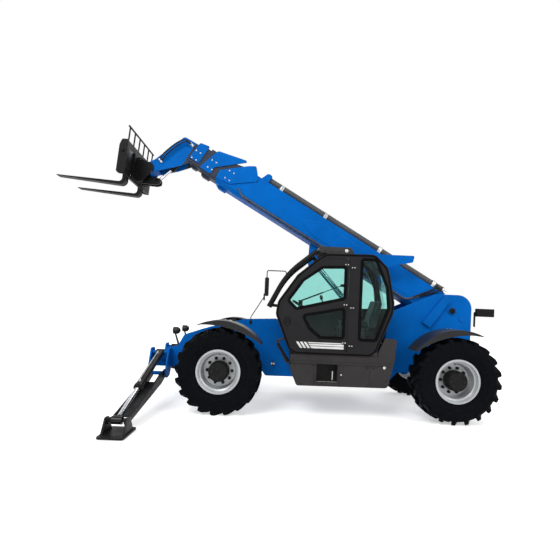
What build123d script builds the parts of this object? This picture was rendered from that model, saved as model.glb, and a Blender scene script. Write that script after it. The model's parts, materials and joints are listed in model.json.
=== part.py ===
from build123d import *
import os
from math import cos, hypot, radians, sin, tan

os.makedirs("parts", exist_ok=True)

# Driving sizes, in millimetres and degrees
tyre_od = 1260.0
tyre_width = 400.0
lug_pitches = 20
lug_depth = 42.0
lug_width = 42.0
lug_draft = 14.0
rim_width = 330.0
rim_seat_r = 305.0
seat_clear = 0.3
overall_width = 2400.0
wheelbase = 3457.0
kingpin_inset = 280.0
guard_gap = 105.0
axle_rise = 170.0
chassis_half = 340.0
plate_t = 25.0
boom_angle = 30.0
boom_pivot_z = 1654.0
boom_pivot_back = 221.0
boom_width = 400.0
boom_top = 205.0
boom_bottom = -260.0
boom_chamfer = 60.0
boom_wall = 9.0
boom_gap = 16.0
boom_length = 4480.0
boom_tail = 190.0
nose_reach = 1070.0
nose_drop = 640.0
fork_tilt = 6.0
fork_reach = 1365.0
fork_drop = 425.0
fork_spacing = 710.0
fork_width = 130.0
fork_thickness = 50.0
cab_outer = 1150.0
cab_gap = 30.0
cab_ahead = 1728.5
cab_wall = 50.0
cab_round = 150.0
cab_floor_z = 933.0
rear_overhang = 603.0
leg_pivot_x = 1030.0
leg_pivot_y = 560.0
leg_pivot_z = 480.0
leg_length = 1640.0
pad_pin_height = 165.0
pad_clear = 10.0
running_clear = 0.5
seal_gap = 8.0

# Tied values; the tyres stand on two neighbouring lug corners
lug_step = 360 / (8 * lug_pitches)
axle_z = tyre_od / 2 * cos(radians(lug_step))
wheel_y = overall_width / 2 - tyre_width / 2
kingpin_y = wheel_y - kingpin_inset
guard_r = tyre_od / 2 + guard_gap
arch_z = axle_z + axle_rise
nose_d = boom_length + nose_reach
nose_n = -nose_drop
rear_reach = wheelbase + rear_overhang
cb = cos(radians(boom_angle))
sb = sin(radians(boom_angle))
ct = cos(radians(fork_tilt))
st = sin(radians(fork_tilt))
pivot_from_front = -(wheelbase + boom_pivot_back)
tilt_from_front = pivot_from_front + nose_d * cb - nose_n * sb
fork_tip_from_front = tilt_from_front + fork_reach * ct + fork_drop * st
fx = (rear_reach - fork_tip_from_front) / 2
rx = fx - wheelbase
cab_x = (fx + rx) / 2 + cab_ahead
pivot_x = fx + pivot_from_front
tilt_x = fx + tilt_from_front
tilt_z = boom_pivot_z + nose_d * sb + nose_n * cb
plate_in = chassis_half - plate_t
boom_half = boom_width / 2
step_in = boom_wall + boom_gap
cab_inner = chassis_half + cab_gap
notch_z = cab_floor_z - 33


def side(y):
    """Sketch plane parallel to XZ at y; local x is X, local y is Z, extrudes toward -Y."""
    return Plane(origin=(0, y, 0), x_dir=(1, 0, 0), z_dir=(0, -1, 0))


def across(x):
    """Sketch plane parallel to YZ at x; local x is Y, local y is Z, extrudes toward +X."""
    return Plane(origin=(x, 0, 0), x_dir=(0, 1, 0), z_dir=(1, 0, 0))


def boom_side(y):
    """Sketch plane along the boom at y; local x runs along the boom, local y is up from it."""
    return Plane(origin=(pivot_x, y, boom_pivot_z), x_dir=(cb, 0, sb), z_dir=(0, -1, 0))


def boom_cross(d):
    """Sketch plane across the boom at distance d; local x is Y, local y is up from the boom."""
    origin = (pivot_x + d * cb, 0, boom_pivot_z + d * sb)
    return Plane(origin=origin, x_dir=(0, 1, 0), z_dir=(cb, 0, sb))


def tool_side(y):
    """Sketch plane in the carriage's frame at y; local x runs along the forks, local y is up from them."""
    return Plane(origin=(tilt_x, y, tilt_z), x_dir=(ct, 0, st), z_dir=(0, -1, 0))


def wheel_section(x, s):
    """Half-section plane of a wheel; local x is outward, local y is the radius."""
    return Plane(origin=(x, s * wheel_y, axle_z), x_dir=(0, s, 0), z_dir=(s, 0, 0))


def from_front(points):
    """Points given from the front axle, put in the shared frame."""
    return [(fx + p[0], *p[1:]) for p in points]


def from_rear(points):
    """Points given from the rear axle, put in the shared frame."""
    return [(rx + p[0], *p[1:]) for p in points]


def from_cab(points):
    """Points given from the cab's datum, put in the shared frame."""
    return [(cab_x + p[0], *p[1:]) for p in points]


def along_line(a, b, share):
    """The point at a share of the way from a to b."""
    return (a[0] + (b[0] - a[0]) * share, a[1] + (b[1] - a[1]) * share)


def polygon(points, radius=0.0):
    """Closed face through points, on the current sketch; a third value is that corner's own radius."""
    radii = [p[2] if len(p) > 2 else radius for p in points]
    corners = [p[:2] for p in points]
    with BuildLine() as outline:
        if max(radii) > 0:
            FilletPolyline(*corners, radius=radii, close=True)
        else:
            Polyline(*corners, close=True)
    make_face(outline.edges())


def boom_outline(inset):
    """Boom cross-section, inset evenly from the outer one."""
    half = boom_half - inset
    top = boom_top - inset
    low = boom_bottom + inset
    corner = boom_chamfer - inset * 0.5858
    polygon([(-half, top), (half, top), (half, low + corner), (half - corner, low),
             (-half + corner, low), (-half, low + corner)])


def tube_pieces(points, radius):
    """Straight round lengths through points, cut to mitres at the bends, to be added to a part."""
    pieces = []
    corners = [Vector(*p) for p in points]
    last = len(corners) - 2
    for i in range(last + 1):
        along = (corners[i + 1] - corners[i]).normalized()
        lead = radius if i > 0 else 0.0
        trail = radius if i < last else 0.0
        with BuildPart() as piece:
            with BuildSketch(Plane(origin=corners[i] - along * lead, z_dir=along)):
                Circle(radius)
            extrude(amount=(corners[i + 1] - corners[i]).length + lead + trail)
            if i > 0:
                before = (corners[i] - corners[i - 1]).normalized()
                split(bisect_by=Plane(origin=corners[i], z_dir=along + before), keep=Keep.TOP)
            if i < last:
                after = (corners[i + 2] - corners[i + 1]).normalized()
                split(bisect_by=Plane(origin=corners[i + 1], z_dir=along + after), keep=Keep.BOTTOM)
        pieces.append(piece.part)
    return pieces


def finish(builder, label):
    """Label a part and write its STEP file."""
    builder.part.label = label
    export_step(builder.part, f"parts/{label}.step")


# Chassis side plates with the boom pivot's bosses; a folded cover stands on the left one
beam_rear_x = fx + leg_pivot_x - 150
beam_front_x = fx + leg_pivot_x + 150
beam_t = 25.0
cyl_pivot_y = leg_pivot_y - 90
cyl_pivot_z = leg_pivot_z + 320
lift_base_x = rx + 457
lift_base_z = 620.0
tower_z = boom_pivot_z + 266
nose_low = (800.0, 880.0)
nose_high = (690.0, 1090.0)
chassis_points = from_front([
    (leg_pivot_x + 150, 560), (leg_pivot_x + 150, 800, 20), (900, 840), nose_low, (*nose_high, 60),
    (370, 1205, 150), (0, 1290, 200), (-220, 1365, 60), (-800, 1395, 20), (-840, 1380, 15), (-870, notch_z, 20)])
chassis_points += from_rear([
    (867, notch_z, 20), (817, boom_pivot_z - 94, 40), (721, boom_pivot_z - 29, 60), (57, tower_z, 120),
    (-543, tower_z, 230), (-543, 620, 40), (-283, 620, 20), (-233, arch_z, 40), (222, arch_z, 40), (252, 640, 20),
    (647, 600), (750, 480, 20)])
chassis_points += from_front([(-660, 470, 40), (-430, arch_z, 60), (430, arch_z, 60), (720, 560, 30)])
for label, y in (("chassis_plate_left", chassis_half), ("chassis_plate_right", -plate_in)):
    outward = 1 if y > 0 else -1
    with BuildPart() as chassis_plate:
        with BuildSketch(side(y)):
            polygon(chassis_points)
        extrude(amount=plate_t)
        with BuildSketch(Plane(origin=(pivot_x, outward * plate_in, boom_pivot_z), z_dir=(0, -outward, 0))):
            Circle(85)
        extrude(amount=plate_in - boom_half - 10)
        for x, z, r, proud in ((pivot_x, boom_pivot_z, 62, 18), (pivot_x - 165, boom_pivot_z - 127, 45, 12)):
            with BuildSketch(Plane(origin=(x, outward * chassis_half, z), z_dir=(0, outward, 0))):
                Circle(r)
            extrude(amount=proud)
        if outward > 0:
            cover_proud = 55.0
            with BuildSketch(side(chassis_half + cover_proud)):
                polygon(from_rear([(-73, boom_pivot_z + 226), (-169, boom_pivot_z + 168, 30),
                                   (143, boom_pivot_z - 283, 30), (270, boom_pivot_z - 206)]))
            extrude(amount=cover_proud)
    finish(chassis_plate, label)

# Cross members between the side plates, and the stabiliser brackets outside them
belly_front = fx - 700
belly_rear = rx + 797
with BuildPart() as chassis_frame:
    with BuildSketch(Plane.XY.offset(480)):
        with Locations(((belly_front + belly_rear) / 2, 0)):
            Rectangle(belly_front - belly_rear, 2 * plate_in)
    extrude(amount=20)
    with BuildSketch(side(plate_in)):
        with Locations((fx - 500, 950)):
            Circle(60)
        with Locations((fx + 560, 800)):
            Circle(55)
        with Locations((lift_base_x - 140, 770)):
            Rectangle(90, 160)
        with Locations((rx - 535, 1100)):
            Rectangle(16, 960)
        with Locations((pivot_x + 260, boom_pivot_z - 474)):
            Circle(50)
    extrude(amount=2 * plate_in)
    with BuildSketch(side(boom_half + 10)):
        with Locations((pivot_x, boom_pivot_z)):
            Circle(50)
    extrude(amount=2 * boom_half + 20)
    for y in (125, -95):
        with BuildSketch(side(y)):
            polygon([(lift_base_x - 95, 850), (lift_base_x - 95, 690, 40), (lift_base_x - 60, 560, 25),
                     (lift_base_x + 40, 550, 40), (lift_base_x + 70, 610, 30), (lift_base_x + 40, 690, 40),
                     (lift_base_x - 40, 850)])
        extrude(amount=30)
    with BuildSketch(side(95)):
        with Locations((lift_base_x, lift_base_z)):
            Circle(35)
    extrude(amount=190)
    beam_points = [(chassis_half, 560), (430, 430, 60), (leg_pivot_y + 20, 405, 50), (leg_pivot_y + 85, 470, 40),
                   (leg_pivot_y + 70, 560, 40), (cyl_pivot_y + 75, 780, 60), (cyl_pivot_y + 40, 870, 35),
                   (chassis_half + 40, 870, 20), (chassis_half, 840)]
    for s in (1, -1):
        for x in (beam_rear_x, beam_front_x - beam_t):
            with BuildSketch(across(x)):
                polygon([(s * p[0], *p[1:]) for p in beam_points])
            extrude(amount=beam_t)
        with BuildSketch(across(beam_rear_x)):
            with Locations((s * leg_pivot_y, leg_pivot_z), (s * cyl_pivot_y, cyl_pivot_z)):
                Circle(30)
        extrude(amount=beam_front_x - beam_rear_x)
    with BuildSketch(Plane.XY.offset(565)):
        with Locations((fx + leg_pivot_x, 0)):
            Rectangle(300, 2 * plate_in)
    extrude(amount=20)
    for z in (640, 740):
        with BuildSketch(Plane.XY.offset(z)):
            with Locations((rx - 567, 0)):
                Rectangle(48, 130)
                Circle(17, mode=Mode.SUBTRACT)
        extrude(amount=25)
finish(chassis_frame, "chassis_frame")


def build_axle(x, label, nose):
    """Axle housing with an offset differential, C-forks at its ends and a pinion nose toward the middle."""
    plane = Plane(origin=(x, 0, axle_z), x_dir=(0, 1, 0), z_dir=(1, 0, 0))
    with BuildPart() as axle:
        with BuildSketch(plane):
            polygon([(-kingpin_y + 100, 0), (-kingpin_y + 100, 85), (-330, 95), (-280, 150), (-70, 150), (20, 100),
                     (330, 95), (kingpin_y - 100, 85), (kingpin_y - 100, 0)])
        revolve(axis=Axis((x, 0, axle_z), (0, 1, 0)))
        for s in (1, -1):
            with BuildSketch(Plane(origin=(x - 70, 0, axle_z), x_dir=(0, 1, 0), z_dir=(1, 0, 0))):
                y = kingpin_y
                polygon([(s * (y - 125), -100), (s * (y - 125), 100), (s * (y - 90), 155), (s * (y + 60), 155),
                         (s * (y + 60), 112), (s * (y - 65), 112), (s * (y - 65), -112), (s * (y + 60), -112),
                         (s * (y + 60), -155), (s * (y - 90), -155)])
            extrude(amount=140)
            with BuildSketch(Plane.XY.offset(axle_z - 170)):
                with Locations((x, s * kingpin_y)):
                    Circle(32 + running_clear)
            extrude(amount=340, mode=Mode.SUBTRACT)
        with BuildSketch(Plane(origin=(x, -175, axle_z), x_dir=(0, 1, 0), z_dir=(nose, 0, 0))):
            Circle(75)
        extrude(amount=260)
        with BuildSketch(Plane(origin=(x, -175, axle_z), x_dir=(0, 1, 0), z_dir=(nose, 0, 0))):
            Circle(38)
        extrude(amount=wheelbase / 2 - 160)
        for s in (1, -1):
            with BuildSketch(Plane.XY.offset(axle_z)):
                with Locations((x, s * (chassis_half - plate_t / 2))):
                    Rectangle(180, 90)
            extrude(amount=arch_z - axle_z)
    finish(axle, label)


build_axle(fx, "front_axle", -1)
build_axle(rx, "rear_axle", 1)

# One pitch of the tyre's carcass about the Z axis, flat faced, and the whole lugged form
pitch_half = 180 / lug_pitches
root_r = tyre_od / 2 - lug_depth
bulge_r = (rim_seat_r + root_r) / 2
bead_in = rim_width / 2 - 14
tyre_half = tyre_width / 2
lug_reach = tyre_od / 2 * sin(radians(3 * lug_step))
lug_top = tyre_od / 2 * cos(radians(3 * lug_step))
lug_root = 24.0
with BuildPart() as tyre_pitch:
    with BuildSketch(Plane.XZ):
        polygon([(rim_seat_r + seat_clear, -bead_in), (rim_seat_r + 22, -bead_in), (bulge_r, -tyre_half),
                 (root_r, -tyre_half + 28), (root_r, tyre_half - 28), (bulge_r, tyre_half),
                 (rim_seat_r + 22, bead_in), (rim_seat_r + seat_clear, bead_in)])
    extrude(amount=tyre_od / 2 * tan(radians(pitch_half)), both=True)
    for sign in (1, -1):
        normal = (-sin(radians(pitch_half)), sign * cos(radians(pitch_half)), 0)
        split(bisect_by=Plane(origin=(0, 0, 0), z_dir=normal), keep=Keep.BOTTOM)
with BuildPart() as tyre_form:
    with PolarLocations(0, lug_pitches):
        add(tyre_pitch.part)
    for sign, shift in ((1, 0.0), (-1, 0.5)):
        planes = []
        for i in range(lug_pitches):
            turn = radians(2 * pitch_half * (i + shift))
            planes.append(Plane(origin=(lug_top * cos(turn), lug_top * sin(turn), 0), x_dir=(0, 0, 1),
                                z_dir=(-cos(turn), -sin(turn), 0)))
        with BuildSketch(*planes):
            polygon([(sign * 14, lug_reach - lug_width), (sign * 14, lug_reach),
                     (sign * (tyre_half - 16), lug_width - lug_reach), (sign * (tyre_half - 16), -lug_reach)])
        extrude(amount=lug_top - root_r + lug_root, taper=-lug_draft)


def build_wheel(x, s, name):
    """Knuckle, mudguard, rim and tyre of one corner; s is the side."""
    plane = wheel_section(x, s)
    axis = Axis((x, 0, axle_z), (0, 1, 0))
    toward_middle = -1 if x == fx else 1
    king = kingpin_y - wheel_y
    pad_under = 25.0
    with BuildPart() as knuckle:
        with BuildSketch(Plane.XY.offset(axle_z - 105)):
            with Locations((x, s * kingpin_y)):
                Circle(52)
        extrude(amount=210)
        with BuildSketch(Plane.XY.offset(axle_z - 155)):
            with Locations((x, s * kingpin_y)):
                Circle(32)
        extrude(amount=320)
        with BuildSketch(plane):
            polygon([(king, 0), (king, 70), (king + 60, 90), (-70, 90), (-70, 59), (30, 59), (30, 0)])
        revolve(axis=axis)
        with BuildSketch(Plane.XY.offset(axle_z + 165)):
            with Locations((x, s * (kingpin_y + 10))):
                Rectangle(110, 90)
        extrude(amount=20)
        with BuildSketch(Plane.XY.offset(axle_z + 165)):
            with Locations((x, s * (kingpin_y + 48))):
                Rectangle(80, 14)
        extrude(amount=guard_r - pad_under - 165)
    finish(knuckle, f"knuckle_{name}")

    start = 64.0
    arc = 82.0
    skin = 10.0
    lip = 8.0
    lip_depth = 85.0
    angle = start if toward_middle < 0 else 180 - start
    ca = cos(radians(angle))
    sa = sin(radians(angle))
    y_in = s * (kingpin_y + 41)
    y_out = s * (wheel_y + tyre_width / 2)
    with BuildPart() as mudguard:
        with BuildSketch(Plane(origin=(x, 0, axle_z), x_dir=(0, 1, 0), z_dir=(sa, 0, -ca))):
            polygon([(y_in, guard_r), (y_in, guard_r + skin), (y_out, guard_r + skin), (y_out, guard_r)])
        revolve(axis=Axis((x, 0, axle_z), (0, toward_middle, 0)), revolution_arc=arc)
        with BuildSketch(side(y_out if s > 0 else y_out + lip)):
            turns = [radians(angle - toward_middle * arc * share) for share in (0, 0.5, 1)]
            rim_line = [(x + (guard_r + skin) * cos(t), axle_z + (guard_r + skin) * sin(t)) for t in turns]
            low = guard_r - lip_depth
            sag = (x + low * cos(turns[1]), axle_z + low * sin(turns[1]))
            with BuildLine() as crescent:
                ThreePointArc(*rim_line)
                ThreePointArc(rim_line[2], sag, rim_line[0])
            make_face(crescent.edges())
        extrude(amount=lip)
        with BuildSketch(Plane.XY.offset(axle_z + guard_r - pad_under)):
            with Locations((x, y_in + s * 20)):
                Rectangle(100, 40)
        extrude(amount=pad_under + 3)
    finish(mudguard, f"mudguard_{name}")

    half = rim_width / 2
    with BuildPart() as rim:
        with BuildSketch(plane):
            polygon([(-half, rim_seat_r + 18), (-half + 14, rim_seat_r + 18), (-half + 14, rim_seat_r),
                     (half - 14, rim_seat_r), (half - 14, rim_seat_r + 18), (half, rim_seat_r + 18),
                     (half, rim_seat_r - 12), (half - 40, rim_seat_r - 12), (half - 60, rim_seat_r - 45),
                     (-10, rim_seat_r - 55), (-18, rim_seat_r - 65), (-18, 145), (150, 145), (180, 120), (180, 0),
                     (45, 0), (45, 59 + running_clear), (-60, 59 + running_clear), (-60, 160), (-38, 160),
                     (-38, rim_seat_r - 65), (-40, rim_seat_r - 55), (-half + 40, rim_seat_r - 14),
                     (-half, rim_seat_r - 12)])
        revolve(axis=axis)
    finish(rim, f"rim_{name}")

    with BuildPart(Plane(origin=(x, s * wheel_y, axle_z), x_dir=(0, 0, -1), z_dir=(0, 1, 0))) as tyre:
        add(tyre_form.part)
    finish(tyre, f"tyre_{name}")


build_wheel(fx, 1, "front_left")
build_wheel(fx, -1, "front_right")
build_wheel(rx, 1, "rear_left")
build_wheel(rx, -1, "rear_right")

# Boom outer section: box with tail hub, oblique front end, collar plates, doublers and lift bracket ears
lift_eye_d = 2300.0
lift_eye_n = -500.0
collar_t = 18.0
doubler_t = 6.0
conduit_y = 90.0
conduit_rear = 230.0
conduit_front = boom_length - 780
with BuildPart() as boom_outer:
    with BuildSketch(boom_cross(-boom_tail)):
        boom_outline(0)
    extrude(amount=boom_length + boom_tail)
    with BuildSketch(boom_cross(-boom_tail)):
        boom_outline(boom_wall)
    extrude(amount=boom_length + boom_tail, mode=Mode.SUBTRACT)
    with BuildSketch(boom_side(boom_half)):
        Circle(95)
    extrude(amount=boom_width)
    for y in (boom_half + collar_t, -boom_half):
        with BuildSketch(boom_side(y)):
            polygon([(boom_length - 640, 130, 60), (boom_length - 474, 325, 40), (boom_length - 359, 253),
                     (boom_length + 10, -60), (boom_length, -190, 20), (boom_length - 247, -170, 90)])
        extrude(amount=collar_t)
    with BuildSketch(boom_side(boom_half)):
        polygon([(boom_length - 570, boom_top - boom_wall), (boom_length - 520, boom_top + 60, 20),
                 (boom_length - 440, boom_top + 60, 20), (boom_length - 430, boom_top - boom_wall)])
    extrude(amount=boom_width)
    for y in (boom_half + doubler_t, -boom_half):
        with BuildSketch(boom_side(y)):
            polygon([(520, 110, 30), (2600, 110, 300), (2950, -40, 60), (2600, -150, 300), (520, -150, 30)])
        extrude(amount=doubler_t)
    with BuildSketch(boom_side(conduit_y + 85)):
        polygon([(conduit_front, boom_top - boom_wall), (conduit_front, boom_top + 135, 12),
                 (conduit_front + 80, boom_top + 135, 50), (conduit_front + 140, boom_top - boom_wall)])
    extrude(amount=170)
    with BuildSketch(boom_side(60)):
        polygon([(boom_length - 220, boom_bottom + boom_wall), (boom_length - 200, boom_bottom - 40, 15),
                 (boom_length - 60, boom_bottom - 40, 15), (boom_length - 40, boom_bottom + boom_wall)])
    extrude(amount=120)
    with BuildSketch(boom_side(boom_half + 40)):
        polygon([(boom_length - 359, 253), (boom_length - 359, 500), (boom_length + 200, 500),
                 (boom_length + 200, -60), (boom_length + 10, -60)])
    extrude(amount=boom_width + 80, mode=Mode.SUBTRACT)
    with BuildSketch(boom_side(boom_half + 40)):
        Circle(50 + running_clear)
    extrude(amount=boom_width + 80, mode=Mode.SUBTRACT)
    for y in (120, -95):
        with BuildSketch(boom_side(y)):
            polygon([(lift_eye_d - 260, boom_bottom), (lift_eye_d + 260, boom_bottom),
                     (lift_eye_d + 90, lift_eye_n - 80, 60), (lift_eye_d - 90, lift_eye_n - 80, 60)])
            with Locations((lift_eye_d, lift_eye_n)):
                Circle(42, mode=Mode.SUBTRACT)
        extrude(amount=25)
finish(boom_outer, "boom_outer")

# Second and third sections with their collars, sheave housings and lower pads
second_rear = 160.0
second_front = boom_length + 310
second_top = boom_top - step_in
second_low = boom_bottom + step_in
half2 = boom_half - step_in
with BuildPart() as boom_second:
    with BuildSketch(boom_cross(second_rear)):
        boom_outline(step_in)
    extrude(amount=second_front - second_rear)
    with BuildSketch(boom_cross(second_rear)):
        boom_outline(step_in + boom_wall)
    extrude(amount=second_front - second_rear, mode=Mode.SUBTRACT)
    for y in (half2 + collar_t, -half2):
        with BuildSketch(boom_side(y)):
            polygon([(boom_length + 335, -190, 20), (boom_length + 210, 205, 60), (boom_length - 275, 320, 20),
                     (boom_length - 300, 296), (boom_length + 55, -7), (boom_length + 120, -60, 30),
                     (boom_length + 120, -190, 20)])
        extrude(amount=collar_t)
    with BuildSketch(boom_side(half2)):
        polygon([(boom_length - 60, second_top - boom_wall), (boom_length - 40, second_top + 78, 20),
                 (boom_length + 60, second_top + 55, 20), (boom_length + 80, second_top - boom_wall)])
    extrude(amount=2 * half2)
    with BuildSketch(boom_side(60)):
        polygon([(boom_length + 130, second_low + boom_wall), (boom_length + 150, second_low - 40, 15),
                 (boom_length + 280, second_low - 40, 15), (boom_length + 300, second_low + boom_wall)])
    extrude(amount=120)
finish(boom_second, "boom_second")

third_rear = 300.0
third_front = boom_length + 545
third_top = second_top - step_in
third_low = second_low + step_in
half3 = half2 - step_in
with BuildPart() as boom_third:
    with BuildSketch(boom_cross(third_rear)):
        boom_outline(2 * step_in)
    extrude(amount=third_front - third_rear)
    with BuildSketch(boom_cross(third_rear)):
        boom_outline(2 * step_in + boom_wall)
    extrude(amount=third_front - third_rear, mode=Mode.SUBTRACT)
    for y in (half3 + collar_t, -half3):
        with BuildSketch(boom_side(y)):
            polygon([(boom_length + 577, -140, 20), (boom_length + 547, 165, 40), (boom_length + 375, 198, 20),
                     (boom_length + 390, -140, 20)])
        extrude(amount=collar_t)
    with BuildSketch(boom_side(half3)):
        polygon([(boom_length + 400, third_top - boom_wall), (boom_length + 410, third_top + 32, 10),
                 (boom_length + 510, third_top + 18, 10), (boom_length + 520, third_top - boom_wall)])
    extrude(amount=2 * half3)
    with BuildSketch(boom_side(55)):
        polygon([(boom_length + 400, third_low + boom_wall), (boom_length + 420, third_low - 35, 12),
                 (boom_length + 510, third_low - 35, 12), (boom_length + 530, third_low + boom_wall)])
    extrude(amount=110)
finish(boom_third, "boom_third")

# Nose: fourth section and gooseneck head
fourth_rear = 440.0
nose_rear = boom_length + 590
half4 = half3 - step_in
nose_wall = 20.0
nose_bore_r = 35.0
tilt_base_d = nose_rear + 60
tilt_base_n = 20.0
neck_points = [(nose_rear, 130, 10), (nose_rear + 250, 122, 60), (nose_d - 10, nose_n + 170, 250),
               (nose_d + 72, nose_n + 50, 60), (nose_d + 60, nose_n - 60, 45), (nose_d - 20, nose_n - 90, 45),
               (nose_d - 362, nose_n + 240, 200), (nose_rear - 40, -215), (nose_rear - 40, -185)]
with BuildPart() as boom_nose:
    with BuildSketch(boom_cross(fourth_rear)):
        boom_outline(3 * step_in)
    extrude(amount=nose_rear - fourth_rear)
    with BuildSketch(boom_side(half4)):
        polygon(neck_points)
    extrude(amount=2 * half4)
    with BuildSketch(boom_cross(fourth_rear)):
        boom_outline(3 * step_in + boom_wall)
    extrude(amount=nose_rear + 60 - fourth_rear, mode=Mode.SUBTRACT)
    with BuildSketch(boom_side(half4 - nose_wall)):
        polygon([(nose_rear - 60, 110), (nose_rear + 235, 102, 50), (nose_d - 40, nose_n + 170, 200),
                 (nose_d - 100, nose_n + 80), (nose_d - 250, nose_n - 60), (nose_rear - 40, -330),
                 (nose_rear - 100, -180)])
    extrude(amount=2 * (half4 - nose_wall), mode=Mode.SUBTRACT)
    with BuildSketch(boom_side(half4)):
        with Locations((nose_d, nose_n)):
            Circle(nose_bore_r + running_clear)
    extrude(amount=2 * half4, mode=Mode.SUBTRACT)
    with BuildSketch(boom_side(half4 - nose_wall)):
        with Locations((tilt_base_d, tilt_base_n)):
            Circle(28)
    extrude(amount=2 * (half4 - nose_wall))
finish(boom_nose, "boom_nose")

# Hose conduit on the boom's top, ending at its front bracket
conduit_r = 58.0
clamp_l = 60.0
with BuildPart() as boom_conduit:
    with BuildSketch(boom_cross(conduit_rear)):
        with Locations((conduit_y, boom_top + 62)):
            Circle(conduit_r)
    extrude(amount=conduit_front - conduit_rear)
    for share in (0.05, 0.36, 0.67, 0.92):
        with BuildSketch(boom_cross(conduit_rear + share * (conduit_front - conduit_rear))):
            with Locations((conduit_y, boom_top + 34)):
                Rectangle(150, 68)
        extrude(amount=clamp_l)
finish(boom_conduit, "boom_conduit")


def cylinder_frame(base_x, base_y, base_z, tip_x, tip_y, tip_z):
    """Length and direction of a cylinder from its base pivot toward its rod eye."""
    length = hypot(hypot(tip_x - base_x, tip_y - base_y), tip_z - base_z)
    along = ((tip_x - base_x) / length, (tip_y - base_y) / length, (tip_z - base_z) / length)
    return length, along


def build_cylinder(base, tip, across_pin, barrel_r, rod_r, eye_r, pin_r, eye_half, barrel_end, label):
    """Barrel and rod of one hydraulic cylinder; barrel_end is the barrel's share of the length."""
    length, along = cylinder_frame(*base, *tip)
    end = length * barrel_end
    plane = Plane(origin=base, x_dir=across_pin, z_dir=along)
    pin_plane = Plane(origin=base, x_dir=along, z_dir=across_pin)
    eye_plane = Plane(origin=tip, x_dir=along, z_dir=across_pin)
    with BuildPart() as barrel:
        with BuildSketch(plane.offset(eye_r - 8)):
            Circle(barrel_r)
        extrude(amount=end - eye_r + 8)
        with BuildSketch(plane.offset(end - 45)):
            Circle(barrel_r + 8)
        extrude(amount=45)
        with BuildSketch(plane.offset(eye_r + 25)):
            Circle(rod_r + running_clear)
        extrude(amount=end, mode=Mode.SUBTRACT)
        with BuildSketch(pin_plane):
            Circle(eye_r)
        extrude(amount=eye_half, both=True)
        with BuildSketch(pin_plane):
            Circle(pin_r + running_clear)
        extrude(amount=eye_half + barrel_r, both=True, mode=Mode.SUBTRACT)
    finish(barrel, f"{label}_barrel")
    rod_length = end - eye_r - 40
    with BuildPart() as rod:
        with BuildSketch(Plane(origin=tip, x_dir=across_pin, z_dir=along).offset(-rod_length)):
            Circle(rod_r)
        extrude(amount=rod_length - eye_r + 8)
        with BuildSketch(eye_plane):
            Circle(eye_r)
        extrude(amount=eye_half, both=True)
    finish(rod, f"{label}_rod")


def boom_point(d, n):
    """A point on the boom's centre plane."""
    return (pivot_x + d * cb - n * sb, 0.0, boom_pivot_z + d * sb + n * cb)


def tool_point(u, w):
    """A point on the carriage's centre plane."""
    return (tilt_x + u * ct - w * st, 0.0, tilt_z + u * st + w * ct)


tilt_eye_u = -140.0
tilt_eye_w = -190.0
build_cylinder((lift_base_x, 0.0, lift_base_z), boom_point(lift_eye_d, lift_eye_n), (0, 1, 0),
               85, 50, 68, 35, 85, 0.665, "lift")
build_cylinder(boom_point(tilt_base_d, tilt_base_n), tool_point(tilt_eye_u, tilt_eye_w), (0, 1, 0),
               52, 28, 46, 28, 38, 0.62, "tilt")

# Hitch: side plates on the nose pin, lever ears for the tilt rod, front cross plate
hitch_half = half4 + 40
hitch_front = 205.0
with BuildPart() as quick_hitch:
    for y in (hitch_half, -half4 - 15):
        with BuildSketch(tool_side(y)):
            polygon([(-60, 70, 50), (60, 90, 40), (180, 130), (180, -270), (90, -270, 60), (-40, -110, 60),
                     (-85, -20, 40)])
        extrude(amount=25)
    for y in (70, -45):
        with BuildSketch(tool_side(y)):
            polygon([(-195, -150, 35), (-120, -135, 30), (180, -180), (180, -270), (-120, -262, 30),
                     (-195, -235, 35)])
            with Locations((tilt_eye_u, tilt_eye_w)):
                Circle(30, mode=Mode.SUBTRACT)
        extrude(amount=25)
    with BuildSketch(tool_side(330)):
        with Locations((hitch_front - 12.5, -70)):
            Rectangle(25, 400)
    extrude(amount=660)
    with BuildSketch(tool_side(hitch_half)):
        Circle(nose_bore_r)
    extrude(amount=2 * hitch_half)
finish(quick_hitch, "quick_hitch")

# Fork carriage: side plates, fork shaft, cross plates
carriage_half = 615.0
shaft_r = 32.0
shaft_u = 287.0
shaft_w = 76.0
with BuildPart() as fork_carriage:
    for y in (carriage_half, -carriage_half + 25):
        with BuildSketch(tool_side(y)):
            polygon([(hitch_front, 250, 20), (310, 245, 40), (340, 150, 60), (340, -270, 30), (300, -300, 30),
                     (hitch_front, -300)])
        extrude(amount=25)
    with BuildSketch(tool_side(carriage_half - 10)):
        with Locations((220, 180)):
            Rectangle(30, 100)
        with Locations((227.5, -230)):
            Rectangle(45, 130)
    extrude(amount=2 * carriage_half - 20)
    with BuildSketch(tool_side(carriage_half + 20)):
        with Locations((shaft_u, shaft_w)):
            Circle(shaft_r)
    extrude(amount=2 * carriage_half + 40)
    slot_plane = Plane(origin=tool_point(190, -230), x_dir=(0, 1, 0), z_dir=(ct, 0, st))
    with BuildSketch(slot_plane):
        with Locations((300, 0), (0, 0), (-300, 0)):
            SlotOverall(130, 50)
    extrude(amount=90, mode=Mode.SUBTRACT)
finish(fork_carriage, "fork_carriage")

# Load backrest of round bars
with BuildPart() as load_backrest:
    rail = Plane(origin=tool_point(225, 455), x_dir=(ct, 0, st), z_dir=(0, 1, 0))
    with BuildSketch(rail):
        Circle(15)
    extrude(amount=carriage_half, both=True)
    foot = tool_point(225, 230)
    for y in (-570, -342, -114, 114, 342, 570):
        with BuildSketch(Plane(origin=(foot[0], y, foot[2]), x_dir=(0, 1, 0), z_dir=(-st, 0, ct))):
            Circle(12)
        extrude(amount=225)
finish(load_backrest, "load_backrest")

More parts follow.
